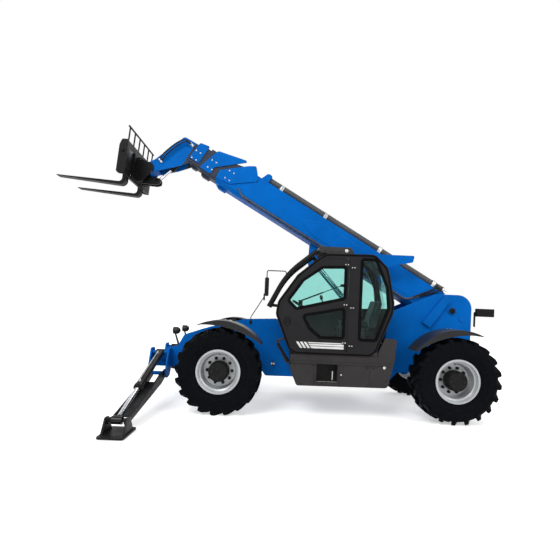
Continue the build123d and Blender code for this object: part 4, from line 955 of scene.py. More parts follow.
@dataclass
class Wheel:
    """One wheel: lugged tyre over the CAD form, hub cover, nuts and valve."""

    end: End
    side: Side
    tyre_r: float = 0.6294
    lugs: int = 20
    nut_circle: float = 0.185
    nuts: int = 10

    @property
    def name(self) -> str:
        """The corner's name."""
        return f"{self.end.value}_{self.side.word}"

    @property
    def centre(self) -> Vector:
        """The wheel's centre."""
        return joint_point(f"wheel_{self.name}_spin")

    def carcass(self) -> Form:
        """The tyre's smooth body, with moulded rings on its sidewalls."""
        half = [(0.0, 0.590), (0.07, 0.589), (0.13, 0.586), (0.166, 0.578), (0.183, 0.562), (0.1925, 0.536),
                (0.1945, 0.531), (0.1985, 0.527), (0.1985, 0.519), (0.1958, 0.514), (0.1985, 0.49),
                (0.1990, 0.46), (0.1965, 0.43), (0.1995, 0.427), (0.1995, 0.42), (0.1945, 0.416),
                (0.187, 0.388), (0.1765, 0.36), (0.1785, 0.357), (0.1775, 0.351), (0.172, 0.348),
                (0.1675, 0.335), (0.1665, 0.326), (0.1515, 0.3255), (0.1515, 0.3062)]
        profile = [(-a, r) for a, r in reversed(half[1:])] + half
        made = Form()
        upright = Matrix.Rotation(-math.pi / 2, 4, "X")
        made.lathe(profile, Matrix.Translation(self.centre) @ upright, 144, True)
        return made

    def lug(self, hand: int) -> bpy.types.Mesh:
        """One lug at the top of the tyre, its inner end leading.

        Args:
            hand: 1 for the lugs toward +Y, -1 for the others.

        Returns:
            Its mesh, about the axle at the origin.
        """
        top = self.tyre_r
        stations = [(0.010, 0.058, 0.020, top - 0.004, 0.583), (0.020, 0.052, 0.0225, top, 0.583),
                    (0.055, 0.030, 0.024, top, 0.582), (0.095, 0.002, 0.0255, top, 0.58),
                    (0.135, -0.026, 0.0275, top, 0.575), (0.165, -0.046, 0.029, top - 0.0012, 0.566),
                    (0.184, -0.056, 0.030, top - 0.006, 0.552), (0.1945, -0.062, 0.030, top - 0.022, 0.535),
                    (0.1992, -0.064, 0.0295, top - 0.058, 0.516), (0.1994, -0.065, 0.027, 0.53, 0.505)]
        made = Form()
        rings = []
        for axial, lead, width, high, low in stations:
            flare = 0.010 if high > 0.6 else 0.004
            section = ((-width - flare, low), (-width, high - 0.006), (-width + 0.006, high),
                       (width - 0.006, high), (width, high - 0.006), (width + flare, low))
            spots = [((lead + across) / self.tyre_r, radius) for across, radius in section]
            rings.append(made.loop([(r * math.sin(t), hand * axial, r * math.cos(t)) for t, r in spots]))
        made.skin(rings, capped=True)
        return made.mesh("lug")

    def build(self) -> None:
        """Make the wheel's pieces."""
        body = f"wheel_{self.name}"
        made = self.carcass()
        for hand, shift in ((1, 0.0), (-1, 0.5)):
            made.add(Repeats.round_axle(self.lug(hand), self.lugs, self.centre, RUBBER, shift))
        made.piece(f"tyre_cover_{self.name}", RUBBER, body, [f"tyre_{self.name}"], 28.0)
        out = self.side.value
        place = axes(self.centre, FORWARD, (0, out, 0))
        rings = Form()
        rings.lathe([(0.160, 0.3), (0.150, 0.291), (0.140, 0.2905), (0.136, 0.284), (0.112, 0.282),
                     (0.107, 0.274), (0.080, 0.272), (0.074, 0.263), (0.030, 0.260), (0.022, 0.250),
                     (-0.006, 0.247), (-0.0165, 0.236), (-0.0165, 0.3)], place, 96, True)
        rings.piece(f"rim_rings_{self.name}", SILVER, body, smooth=20.0)
        hub = Form()
        hub.lathe([(-0.0175, 0.0), (-0.0175, 0.1465), (0.02, 0.1465), (0.024, 0.152), (0.05, 0.152),
                   (0.054, 0.1465), (0.145, 0.1465), (0.152, 0.1445), (0.178, 0.123), (0.1815, 0.118),
                   (0.1815, 0.062), (0.1865, 0.056), (0.1865, 0.0)], place)
        hub.piece(f"hub_cover_{self.name}", BLACK, body)
        nut = Form()
        nut.lathe([(-0.018, 0.0), (-0.018, 0.024), (-0.012, 0.024), (-0.010, 0.020), (0.016, 0.020),
                   (0.018, 0.018), (0.018, 0.012), (0.034, 0.012), (0.036, 0.010), (0.036, 0.0)],
                  axes((0, 0, self.nut_circle), FORWARD, (0, out, 0)), 12)
        nuts = Repeats.round_axle(nut.mesh("nut"), self.nuts, self.centre, BLACK, 0.5)
        fit(f"wheel_nuts_{self.name}", nuts, BLACK, body)
        ring = [self.centre + Vector((0.088 * math.cos(t), out * 0.1815, 0.088 * math.sin(t)))
                for t in turns(8)]
        fit(f"hub_bolts_{self.name}", Repeats.bolts(ring, (0, out, 0), 0.008, BLACK), BLACK, body)
        valve = Form()
        stem = [(0.0, 0.245), (0.03, 0.238), (0.055, 0.232)]
        valve.tube([self.centre + Vector((0, out * a, r)) for a, r in stem], 0.006, 10)
        valve.piece(f"valve_{self.name}", HOSE, body)


@dataclass
class Boom:
    """Fittings on the boom and its fork carriage: hoses, sleeve, pipes, webs, slide pads and bolts."""

    at: Layout
    sleeve_y: float = 0.09
    sleeve_n: float = 0.267
    sleeve_r: float = 0.056
    rib_pitch: float = 0.03
    clamp_l: float = 0.06
    hose_r: float = 0.011
    nose_half: float = 0.125

    def sleeve(self) -> None:
        """Corrugated hose sleeve in its clamps, for the CAD conduit."""
        rear, front = 0.23, self.at.boom_length - 0.781
        ends = [self.at.boom(d, self.sleeve_n, self.sleeve_y) for d in (rear, front)]
        mesh = Repeats.ribbed_sleeve(*ends, self.sleeve_r, self.rib_pitch, SLEEVE)
        fit("boom_sleeve", mesh, SLEEVE, "boom", ["boom_conduit"], 60.0)
        made = Form()
        top = 0.205
        for share in (0.05, 0.36, 0.67, 0.92):
            d = rear + share * (front - rear)
            base = self.at.boom(d + self.clamp_l / 2, top, self.sleeve_y)
            place = axes(base, LEFTWARD, self.at.boom_up)
            made.block((-0.075, -self.clamp_l / 2, 0.0005), (0.075, self.clamp_l / 2, 0.012), 0.003, place)
            side = axes(self.at.boom(d, top, self.sleeve_y), LEFTWARD, self.at.boom_along)
            for turn in range(12):
                a, b = math.pi * turn / 12, math.pi * (turn + 1) / 12
                arc = ((a, 0.0575), (b, 0.0575), (b, 0.063), (a, 0.063))
                band = [(math.cos(t) * r, math.sin(t) * r + 0.062) for t, r in arc]
                made.slab(band, self.clamp_l, side, 0.0)
            for s in (-1, 1):
                made.block((s * 0.0602 - 0.0026, -self.clamp_l / 2, 0.011),
                           (s * 0.0602 + 0.0026, self.clamp_l / 2, 0.063), 0.001, place)
        bmesh.ops.remove_doubles(made.bm, verts=made.bm.verts, dist=1e-5)
        made.piece("sleeve_clamps", ZINC, "boom")
        back = axes(ends[0], LEFTWARD, -self.at.boom_along)
        made = Form()
        made.lathe([(-0.03, 0.0), (-0.03, 0.0605), (0.0, 0.0605), (0.012, 0.05), (0.012, 0.0)], back, 40)
        for k, (across, up) in enumerate(((-0.025, 0.018), (0.022, 0.02), (-0.002, -0.022))):
            base = back @ Vector((across, up, 0.012))
            made.tube([base, base - self.at.boom_along * (0.045 + 0.008 * k)], 0.013, 6)
        made.piece("sleeve_fittings", ZINC, "boom")

    def pipes(self) -> None:
        """Steel pipe and thin hose in clips under the boom's left edge, both sides of the lift bracket."""
        y, n = self.at.boom_half + 0.020, -0.222
        made = Form()
        path = bent([self.at.boom(0.55, n + 0.16, y), self.at.boom(0.72, n, y), self.at.boom(3.95, n, y),
                     self.at.boom(4.06, n + 0.07, y)], 0.09)
        made.tube(path, 0.013, 14)
        low = bent([self.at.boom(0.62, n + 0.10, y - 0.002), self.at.boom(0.78, n - 0.034, y - 0.024),
                    self.at.boom(3.9, n - 0.034, y - 0.024), self.at.boom(4.0, n + 0.03, y - 0.002)], 0.09)
        made.tube(low, 0.008, 12)
        made.piece("boom_pipes", SLEEVE, "boom")
        clip = Form()
        clip.block((-0.02, -0.005, -0.024), (0.02, 0.036, 0.024), 0.003,
                   axes(self.at.boom(0.95, n, self.at.boom_half), self.at.boom_along, self.at.boom_up * -1))
        row = Repeats.along_line(clip.mesh("clip"), 6, tuple(self.at.boom_along * 0.57), BLACK)
        fit("pipe_clips", row, BLACK, "boom")

    def tail_pipes(self) -> None:
        """Two black lines from the sleeve's rear end down the boom's left side to the pipes."""
        made = Form()
        out = self.at.boom_half + 0.021
        for start, end_d, end_n in ((0.30, 0.555, -0.064), (0.37, 0.625, -0.124)):
            route = [self.at.boom(start, self.sleeve_n, self.sleeve_y + self.sleeve_r - 0.012),
                     self.at.boom(start + 0.01, self.sleeve_n, out), self.at.boom(start + 0.04, 0.16, out),
                     self.at.boom(end_d, end_n, out)]
            made.tube(bent(route, 0.05), 0.0145, 12)
        made.piece("tail_pipes", HOSE, "boom")

    def carriage_webs(self) -> None:
        """Plates that close the fork carriage's frame on both sides of the hitch."""
        made = Form()
        along = self.at.tool_at(1, 0, 0) - self.at.tool
        place = axes(self.at.tool_at(0.206, 0, 0), LEFTWARD, (along.x, 0, along.z))
        for low, high in ((-0.592, -0.325), (0.325, 0.592)):
            made.block((low, -0.168, 0.0), (high, 0.133, 0.010), 0.002, place)
        made.piece("carriage_webs", BLACK, "carriage")

    def pads(self) -> None:
        """Dark slide pads that show where each section leaves the one before."""
        length = self.at.boom_length
        for body, front, inset in (("boom", length - 0.002, 0.025), ("boom_second", length + 0.312, 0.05),
                                   ("boom_third", length + 0.547, 0.075)):
            made = Form()
            half, low = self.at.boom_half - inset, -0.26 + inset
            place = axes(self.at.boom(front, 0, 0), LEFTWARD, self.at.boom_along)
            for s in (-1, 1):
                made.block((s * half + s * 0.0015 - 0.0065 * (1 - s), low + 0.07, -0.05),
                           (s * half + s * 0.0015 + 0.0065 * (1 + s), low + 0.20, 0.012), 0.002, place)
            made.block((-half + 0.06, low - 0.014, -0.05), (half - 0.06, low - 0.0015, 0.012), 0.002, place)
            made.piece(f"slide_pads_{body}", PAD, body)

    def collar_bolts(self) -> None:
        """Bolts that hold the slide pads, two by two on each collar."""
        length = self.at.boom_length
        for body, d, y in (("boom", length - 0.22, 0.218), ("boom_second", length + 0.13, 0.193),
                           ("boom_third", length + 0.45, 0.168)):
            for s in (1, -1):
                spots = [self.at.boom(d + a, n, s * y) for a in (0.0, 0.085) for n in (-0.12, 0.02)]
                mesh = Repeats.bolts(spots, (0, s, 0), 0.0085, ZINC)
                fit(f"collar_bolts_{body}_{Side(s).word}", mesh, ZINC, body)

    def hoses(self) -> None:
        """Two hoses that loop over the nose's left side between fittings."""
        length = self.at.boom_length
        skin = self.nose_half
        for k, shift in enumerate((0.0, 0.052)):
            bulge = 0.052 + 0.012 * k
            spine = ((0.640, 0.060), (0.690, 0.075), (0.775, 0.045), (0.850, -0.090), (0.900, -0.240),
                     (0.935, -0.360), (0.945, -0.450))
            flat = [(length + d + shift * 0.75, n + shift * 0.2) for d, n in spine]
            ends = [self.at.boom(*flat[0], skin + 0.022), self.at.boom(*flat[-1], skin + 0.022)]
            route = [ends[0], *(self.at.boom(d, n, skin + bulge) for d, n in flat[1:-1]), ends[1]]
            curve = bpy.data.curves.new(f"nose_hose_{k + 1}", "CURVE")
            curve.dimensions = "3D"
            spline = curve.splines.new("NURBS")
            spline.points.add(len(route) - 1)
            for point, place in zip(spline.points, route):
                point.co = (*place, 1.0)
            spline.order_u = 3
            spline.use_endpoint_u = True
            spline.resolution_u = 10
            bare = put("hose_line", curve)
            line = evaluated(bare)
            bpy.data.objects.remove(bare)
            bpy.data.meshes.remove(line)
            curve.bevel_depth = self.hose_r
            curve.bevel_resolution = 4
            curve.use_fill_caps = True
            curve.materials.append(HOSE.material())
            hose = put(f"nose_hose_{k + 1}", curve)
            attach(hose, "boom_nose")
            fittings = Form()
            for end in ends:
                place = axes((end.x, skin, end.z), FORWARD, LEFTWARD)
                fittings.lathe([(0.0, 0.0), (0.0, 0.022), (0.012, 0.022), (0.014, 0.016), (0.034, 0.016),
                                (0.036, 0.0125), (0.046, 0.0125), (0.046, 0.0)], place, 12)
            cap = fittings.piece(f"hose_fittings_{k + 1}", ZINC, "boom_nose")

    def build(self) -> None:
        """Make the boom's pieces."""
        self.hoses()
        self.sleeve()
        self.pipes()
        self.tail_pipes()
        self.carriage_webs()
        self.pads()
        self.collar_bolts()


@dataclass
class Cab:
    """Fittings of the cab: seals, stripes, seat, steering wheel, guard tubes, mirrors and skirt details."""

    at: Layout
    upper: Tuple[Flat, ...] = ((-1.445, 2.208), (-1.792, 2.222), (-1.792, 1.755), (-1.089, 1.579),
                               (-0.959, 1.703), (-1.170, 2.010))
    lower: Tuple[Flat, ...] = ((-1.175, 1.502), (-1.792, 1.626), (-1.792, 1.179), (-1.438, 1.179),
                               (-1.283, 1.305))
    gap_inset: float = 0.069
    quarter: Tuple[Flat, ...] = ((-2.002, 1.165), (-2.262, 1.165), (-2.428, 1.640), (-2.395, 1.950),
                                 (-2.222, 2.345), (-2.002, 2.345))

    def seal(self, name: str, outline: Sequence[Flat], y: float, body: str) -> None:
        """Rubber seal round a window.

        Args:
            name: The piece's name.
            outline: The window's outline, from the front axle.
            y: The face it sits on.
            body: The body it rides on.
        """
        made = Form()
        ring = rounded(outline, 0.05, 8)
        middle = Vector((sum(x for x, _ in ring) / len(ring), sum(z for _, z in ring) / len(ring)))
        loops = []
        for grow, out in ((0.012, -0.001), (0.012, 0.005), (0.008, 0.008), (-0.024, 0.008), (-0.030, 0.004),
                          (-0.030, -0.011)):
            loop = []
            for i, (x, z) in enumerate(ring):
                before, after = Vector(ring[i - 1]), Vector(ring[(i + 1) % len(ring)])
                along = (after - before).normalized()
                aside = Vector((along.y, -along.x))
                if aside.dot(Vector((x, z)) - middle) < 0:
                    aside = -aside
                spot = Vector((x, z)) + aside * grow
                loop.append(self.at.cab(spot.x, spot.y, y + out))
            loops.append(made.loop(loop))
        made.skin(loops, closed=True)
        made.piece(name, SEAL, body)

    def stripes(self) -> None:
        """Plain pale stripes low on the door."""
        made = Form()
        low, high, lean = 1.026, 1.114, 0.06
        bars = [[(x, high), (x - 0.036, high), (x - 0.036 - lean, low), (x - lean, low)]
                for x in (-1.105, -1.160, -1.215)]
        for z0, z1 in ((1.098, high), (1.064, 1.090), (low, 1.056)):
            slant = [(-1.270 - lean * (high - z) / (high - low), z) for z in (z1, z0)]
            bars.append([slant[0], (-1.795, z1), (-1.795, z0), slant[1]])
        face = self.at.side_face(self.at.door_face + 0.0015)
        for corners in bars:
            made.slab(corners, 0.0018, face, 0.0003)
        made.piece("door_stripes", STRIPE, "door")

    def door_fittings(self) -> None:
        """Handle recess, hinge bolts and the stay rod inside the upper window."""
        handle = Form()
        place = axes(self.at.cab(-0.972, 1.409, self.at.door_face), FORWARD, LEFTWARD)
        ring = [(0.040 * math.cos(t), 0.066 * math.sin(t)) for t in turns(40)]
        steps = ((1.0, 0.0), (1.0, 0.016), (0.92, 0.021), (0.72, 0.021), (0.64, 0.0175), (0.3, 0.0175))
        loops = []
        for scale, out in steps:
            loops.append(handle.loop([place @ Vector((x * scale, y * scale, out)) for x, y in ring]))
        handle.skin(loops, capped=True)
        handle.block((-0.008, -0.045, 0.0165), (0.008, 0.045, 0.024), 0.003, place)
        handle.piece("door_handle", BLACK, "door")
        for body, x, y, z0 in (("door", -1.843 + 0.048, 1.152, 0.021),
                               ("chassis", -1.843 - 0.048, 1.158, -0.02)):
            spots = [self.at.cab(x + dx, z + z0, y) for z in (1.1, 1.65, 2.23) for dx in (-0.018, 0.018)]
            fit(f"hinge_bolts_{body}", Repeats.bolts(spots, LEFTWARD, 0.0065, ZINC), ZINC, body)
        stay = Form()
        ends = [self.at.cab(-1.14, 1.70, 1.098), self.at.cab(-1.74, 1.95, 1.098)]
        stay.tube([ends[0], ends[0].lerp(ends[1], 0.55)], 0.011, 12)
        stay.tube([ends[0].lerp(ends[1], 0.5), ends[1]], 0.006, 10)
        for end in ends:
            stay.block(end - Vector((0.016, 0.006, 0.016)), end + Vector((0.016, 0.008, 0.016)), 0.003)
        stay.block(self.at.cab(-1.805, 1.93, 1.092), self.at.cab(-1.72, 1.97, 1.1035), 0.003)
        stay.block(self.at.cab(-1.18, 1.55, 1.092), self.at.cab(-1.12, 1.715, 1.1035), 0.003)
        stay.piece("window_stay", BLACK, "door")

    def seat(self) -> None:
        """Padded seat and back, swollen by a cloth run, with sewn welts."""
        low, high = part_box("seat_cushion")
        made = Form()
        x0, x1 = low.x, high.x
        inset = 0.022
        y0, y1 = low.y + inset, high.y - inset
        cushion_side = ((x0 + 0.20, low.z + 0.012), (x1 - inset, low.z + 0.012), (x1 - inset, low.z + 0.10),
                        (x0 + 0.225, low.z + 0.107))
        back_side = ((x0 + 0.115, low.z + 0.03), (x0 + 0.19, low.z + 0.04), (x0 + 0.20, low.z + 0.11),
                     (x0 + 0.095, high.z - 0.022), (x0 + 0.022, high.z - 0.04))
        for outline in (cushion_side, back_side):
            made.slab(outline, y1 - y0, axes((0, y1, 0), FORWARD, (0, -1, 0)), 0.018)
        pad = put("seat_pads", made.mesh("seat_pads"))
        remesh = pad.modifiers.new("fine", "REMESH")
        remesh.mode = "VOXEL"
        remesh.voxel_size = 0.006
        self.settle(pad)
        start = [v.co.copy() for v in pad.data.vertices]
        cloth = pad.modifiers.new("swell", "CLOTH")
        cloth.settings.use_pressure = True
        cloth.settings.uniform_pressure_force = 4.0
        cloth.settings.effector_weights.gravity = 0.0
        cloth.settings.quality = 4
        frames = 20
        cloth.point_cache.frame_start = 1
        cloth.point_cache.frame_end = frames
        for step in range(1, frames + 1):
            bpy.context.scene.frame_set(step)
        self.settle(pad)
        bpy.context.scene.frame_set(1)
        most_swell = 0.016
        for v, first in zip(pad.data.vertices, start):
            moved = v.co - first
            if moved.length > most_swell:
                v.co = first + moved.normalized() * most_swell
        for v in pad.data.vertices:
            v.co = Vector((min(max(v.co.x, low.x), high.x), min(max(v.co.y, low.y), high.y),
                           min(max(v.co.z, low.z + 0.002), high.z)))
        result = pad.data
        bpy.data.objects.remove(pad)
        cushion = fit("seat_pad_cover", result, CLOTH, "chassis", ["seat_cushion"], 80.0)
        welts = Form()
        for y in (y0 + 0.11, y1 - 0.11):
            spine = [(x1 - inset - 0.005, low.z + 0.085), (x1 - 0.05, low.z + 0.118),
                     (x0 + 0.30, low.z + 0.125), (x0 + 0.235, low.z + 0.12)]
            welts.tube(bent([(x, y, z) for x, z in spine], 0.03), 0.0045, 8)
            back = [(x0 + 0.205, low.z + 0.15), (x0 + 0.155, low.z + 0.29), (x0 + 0.108, high.z - 0.03)]
            welts.tube(bent([(x, y, z) for x, z in back], 0.05), 0.0045, 8)
        welts.piece("seat_welts", CLOTH, "chassis")

    @staticmethod
    def settle(pad: bpy.types.Object) -> None:
        """Put an object's modifiers into its mesh and remove them."""
        old = pad.data
        fresh = evaluated(pad)
        pad.modifiers.clear()
        pad.data = fresh
        bpy.data.meshes.remove(old)

    def controls(self) -> None:
        """Steering wheel rim, the side console and a lever with its knob."""
        made = Form()
        tilt = Vector((-0.5, 0.0, 0.866)).normalized()
        y = (0.37 + self.at.cab_outer) / 2
        base = self.at.cab(-1.12, 1.48, y)
        hub = base + tilt * 0.163
        aside = Vector(LEFTWARD)
        ahead = tilt.cross(aside)
        ring = [hub + (aside * math.cos(t) + ahead * math.sin(t)) * 0.1675 for t in turns(48)]
        made.tube(ring + ring[:1], 0.0155, 12)
        made.piece("wheel_rim_grip", HOSE, "chassis")
        lever = Form()
        foot = self.at.cab(-1.55, 1.585, 0.48)
        side = rounded([(-1.09, 0.99), (-2.19, 0.99), (-2.38, 1.40), (-2.38, 1.64), (-1.72, 1.61),
                        (-1.44, 1.585), (-1.36, 1.53), (-0.90, 1.50)], 0.05, 5)
        lever.slab(side, 0.085, self.at.side_face(0.512), 0.010)
        stalk = bent([foot, foot + Vector((0.0, 0, 0.10)), foot + Vector((0.03, 0, 0.17))], 0.05)
        lever.tube(stalk, 0.010, 12)
        lever.lathe([(0.0, 0.0), (0.0, 0.016), (0.03, 0.026), (0.06, 0.024), (0.075, 0.012), (0.078, 0.0)],
                    axes(foot + Vector((0.028, 0, 0.16)), LEFTWARD, (0.2, 0, 1)), 20)
        lever.piece("lever_console", GUARD, "chassis")

    def guard(self) -> None:
        """Screen guard of bent tubes, its feet and rungs, and the left mirror, for the CAD one."""
        made = Form()
        line = ((-1.357, 2.434), (-0.938, 2.090), (-0.690, 1.600))
        outer, inner = self.at.cab_outer - 0.035, 0.405
        for y in (outer, inner):
            made.tube(bent([self.at.cab(x, z, y) for x, z in line], 1.5, 16), 0.034, 20)
            place = self.at.side_face(y + 0.006)
            for foot in (((-1.4095, 2.3495), (-1.4596, 2.377), (-1.380, 2.455), (-1.330, 2.412)),
                         ((-0.808, 1.600), (-0.8137, 1.640), (-0.705, 1.650), (-0.695, 1.605))):
                made.slab(foot, 0.012, place, 0.001)
        for x, z in ((-1.20, 2.305), (-0.855, 1.927), (-0.735, 1.69)):
            made.tube([self.at.cab(x, z, inner), self.at.cab(x, z, outer)], 0.009, 10)
        arm = bent([self.at.cab(-0.93, 2.083, 1.115), self.at.cab(-0.915, 2.123, 1.115),
                    self.at.cab(-0.648, 2.123, 1.110), self.at.cab(-0.648, 1.99, 1.110)], 0.03, 8)
        made.tube(arm, 0.0075, 10)
        made.block(self.at.cab(-0.68, 1.755, 0.98), self.at.cab(-0.62, 2.025, 1.14), 0.02)
        made.piece("screen_guard_tubes", BLACK, "chassis", ["screen_guard"])
        glass = Form()
        glass.block(self.at.cab(-0.6815, 1.77, 0.992), self.at.cab(-0.679, 2.01, 1.128), 0.0008)
        disc = axes(self.at.cab(-0.606, 1.761, 0.304), LEFTWARD, (-1, 0, 0))
        glass.lathe([(0.0, 0.0), (0.0, 0.054), (0.0012, 0.053), (0.0012, 0.0)], disc, 40)
        glass.piece("mirror_faces", MIRROR, "chassis")

    def roof(self) -> None:
        """Round cable plug and bolts on the roof tray's side."""
        low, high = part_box("roof_guard")
        made = Form()
        made.lathe([(-0.002, 0.0), (-0.002, 0.024), (0.004, 0.024), (0.007, 0.018), (0.007, 0.0)],
                   axes(self.at.cab(-1.79, (low.z + high.z) / 2, high.y), FORWARD, LEFTWARD), 32)
        made.piece("roof_plug", ZINC, "chassis")
        spots = [self.at.cab(x, low.z + 0.045, high.y) for x in (-1.48, -1.56, -1.68)]
        fit("roof_bolts", Repeats.bolts(spots, LEFTWARD, 0.007, BLACK), BLACK, "chassis")

    def bead(self) -> None:
        """Rubber bead round the cab's left side."""
        outline = [(-1.503, 2.380), (-2.190, 2.391), (-2.370, 2.219), (-2.407, 2.078), (-2.479, 1.719),
                   (-2.469, 1.576), (-2.254, 1.026), (-2.184, 0.955), (-1.106, 0.955), (-1.014, 1.011),
                   (-0.817, 1.503), (-0.841, 1.675), (-1.100, 2.061), (-1.398, 2.317)]
        path = [self.at.cab(x, z, self.at.cab_outer - 0.003) for x, z in rounded(outline, 0.135, 6)]
        made = Form()
        made.tube(path + path[:1], 0.012, 10)
        made.piece("cab_bead", SEAL, "chassis")

    def rail_grip(self) -> None:
        """Black grip on the entry rail."""
        made = Form()
        ends = [self.at.cab(-0.836, 1.072, 1.040), self.at.cab(-1.004, 0.812, 1.040)]
        spine = [ends[0].lerp(ends[1], share) for share in (0.0, 0.02, 0.98, 1.0)]
        made.tube(spine, 0.023, 18, (0.018, 0.023, 0.023, 0.018))
        made.piece("rail_grip", BLACK, "chassis")

    def door_gap(self) -> None:
        """Rubber lip in the gap round the door."""
        edge = [(-1.503, 2.401), (-1.843, 2.407), (-1.843, 0.933), (-1.100, 0.933), (-0.998, 0.995),
                (-0.794, 1.501), (-0.820, 1.684), (-1.085, 2.077), (-1.389, 2.338)]
        lines = []
        for i, corner in enumerate(edge):
            a, b = Vector(corner), Vector(edge[(i + 1) % len(edge)])
            along = (b - a).normalized()
            inward = Vector((-along.y, along.x))
            depth = 0.0 if i == 1 else self.gap_inset
            lines.append((a + inward * depth, along))
        ring = []
        for (p, r), (q, s) in zip(lines[-1:] + lines[:-1], lines):
            reach = ((q - p).x * s.y - (q - p).y * s.x) / (r.x * s.y - r.y * s.x)
            spot = p + r * reach
            ring.append((spot.x, spot.y))
        path = [self.at.cab(x, z, self.at.door_face) for x, z in rounded(ring, 0.085, 6)]
        made = Form()
        made.tube(path + path[:1], 0.0055, 8)
        made.piece("door_lip", HOSE, "door")

    def skirt(self) -> None:
        """Skirt details: rear fin, sill strip, panel joints, bolts, locks, step handle and tread."""
        face = self.at.cab_outer - 0.010
        made = Form()
        place = self.at.side_face(face + 0.001)
        fin = rounded([(-2.30, 0.86), (-2.537, 0.86), (-2.565, 1.193), (-2.395, 1.215), (-2.300, 1.0)],
                      0.03, 4)
        made.slab(fin, 0.045, place, 0.004)
        made.slab([(-1.046, 0.805), (-2.50, 0.805), (-2.506, 0.832), (-1.0445, 0.832)], 0.014,
                  self.at.side_face(face + 0.012), 0.003)
        for low, high in (((-2.192, 0.500), (-2.182, 0.80)), ((-1.395, 0.500), (-1.385, 0.80)),
                          ((-1.752, 0.500), (-1.742, 0.80))):
            made.block(self.at.cab(*low, face - 0.002), self.at.cab(*high, face + 0.005), 0.001)
        made.piece("skirt_trim", COVER, "chassis")
        bolts = ((-1.11, 0.775), (-1.36, 0.775), (-1.80, 0.775), (-2.15, 0.775), (-1.20, 0.515),
                 (-2.15, 0.515), (-2.24, 0.775), (-2.42, 0.60))
        spots = [self.at.cab(x, z, face + 0.0005) for x, z in bolts]
        fit("skirt_bolts", Repeats.bolts(spots, LEFTWARD, 0.008, BLACK), BLACK, "chassis")
        locks = Form()
        for x, z, r in ((-2.393, 0.785, 0.020), (-1.774, 0.657, 0.011)):
            locks.lathe([(-0.002, 0.0), (-0.002, r), (0.006, r), (0.008, r - 0.003), (0.008, 0.0)],
                        axes(self.at.cab(x, z, face + 0.0012), FORWARD, LEFTWARD), 28)
        locks.piece("skirt_locks", ZINC, "chassis")
        handle = Form()
        grip = [self.at.cab(-1.655, 0.70, face - 0.199), self.at.cab(-1.655, 0.70, face - 0.045),
                self.at.cab(-1.655, 0.565, face - 0.045), self.at.cab(-1.655, 0.565, face - 0.199)]
        handle.tube(bent(grip, 0.025), 0.010, 12)
        handle.piece("step_handle", ZINC, "chassis")
        tooth = Form()
        tooth.block(self.at.cab(-1.711, 0.5451, face - 0.188), self.at.cab(-1.703, 0.556, face - 0.006),
                    0.002)
        fit("step_tread", Repeats.along_line(tooth.mesh("tooth"), 16, (0.0182, 0, 0), ZINC), ZINC,
            "chassis")

    def build(self) -> None:
        """Make the cab's pieces."""
        self.seal("seal_upper_window", self.upper, self.at.door_face, "door")
        self.seal("seal_lower_window", self.lower, self.at.door_face, "door")
        self.seal("seal_quarter_window", self.quarter, self.at.cab_outer, "chassis")
        self.stripes()
        self.door_fittings()
        self.seat()
        self.controls()
        self.guard()
        self.roof()
        self.door_gap()
        self.bead()
        self.rail_grip()
        self.skirt()


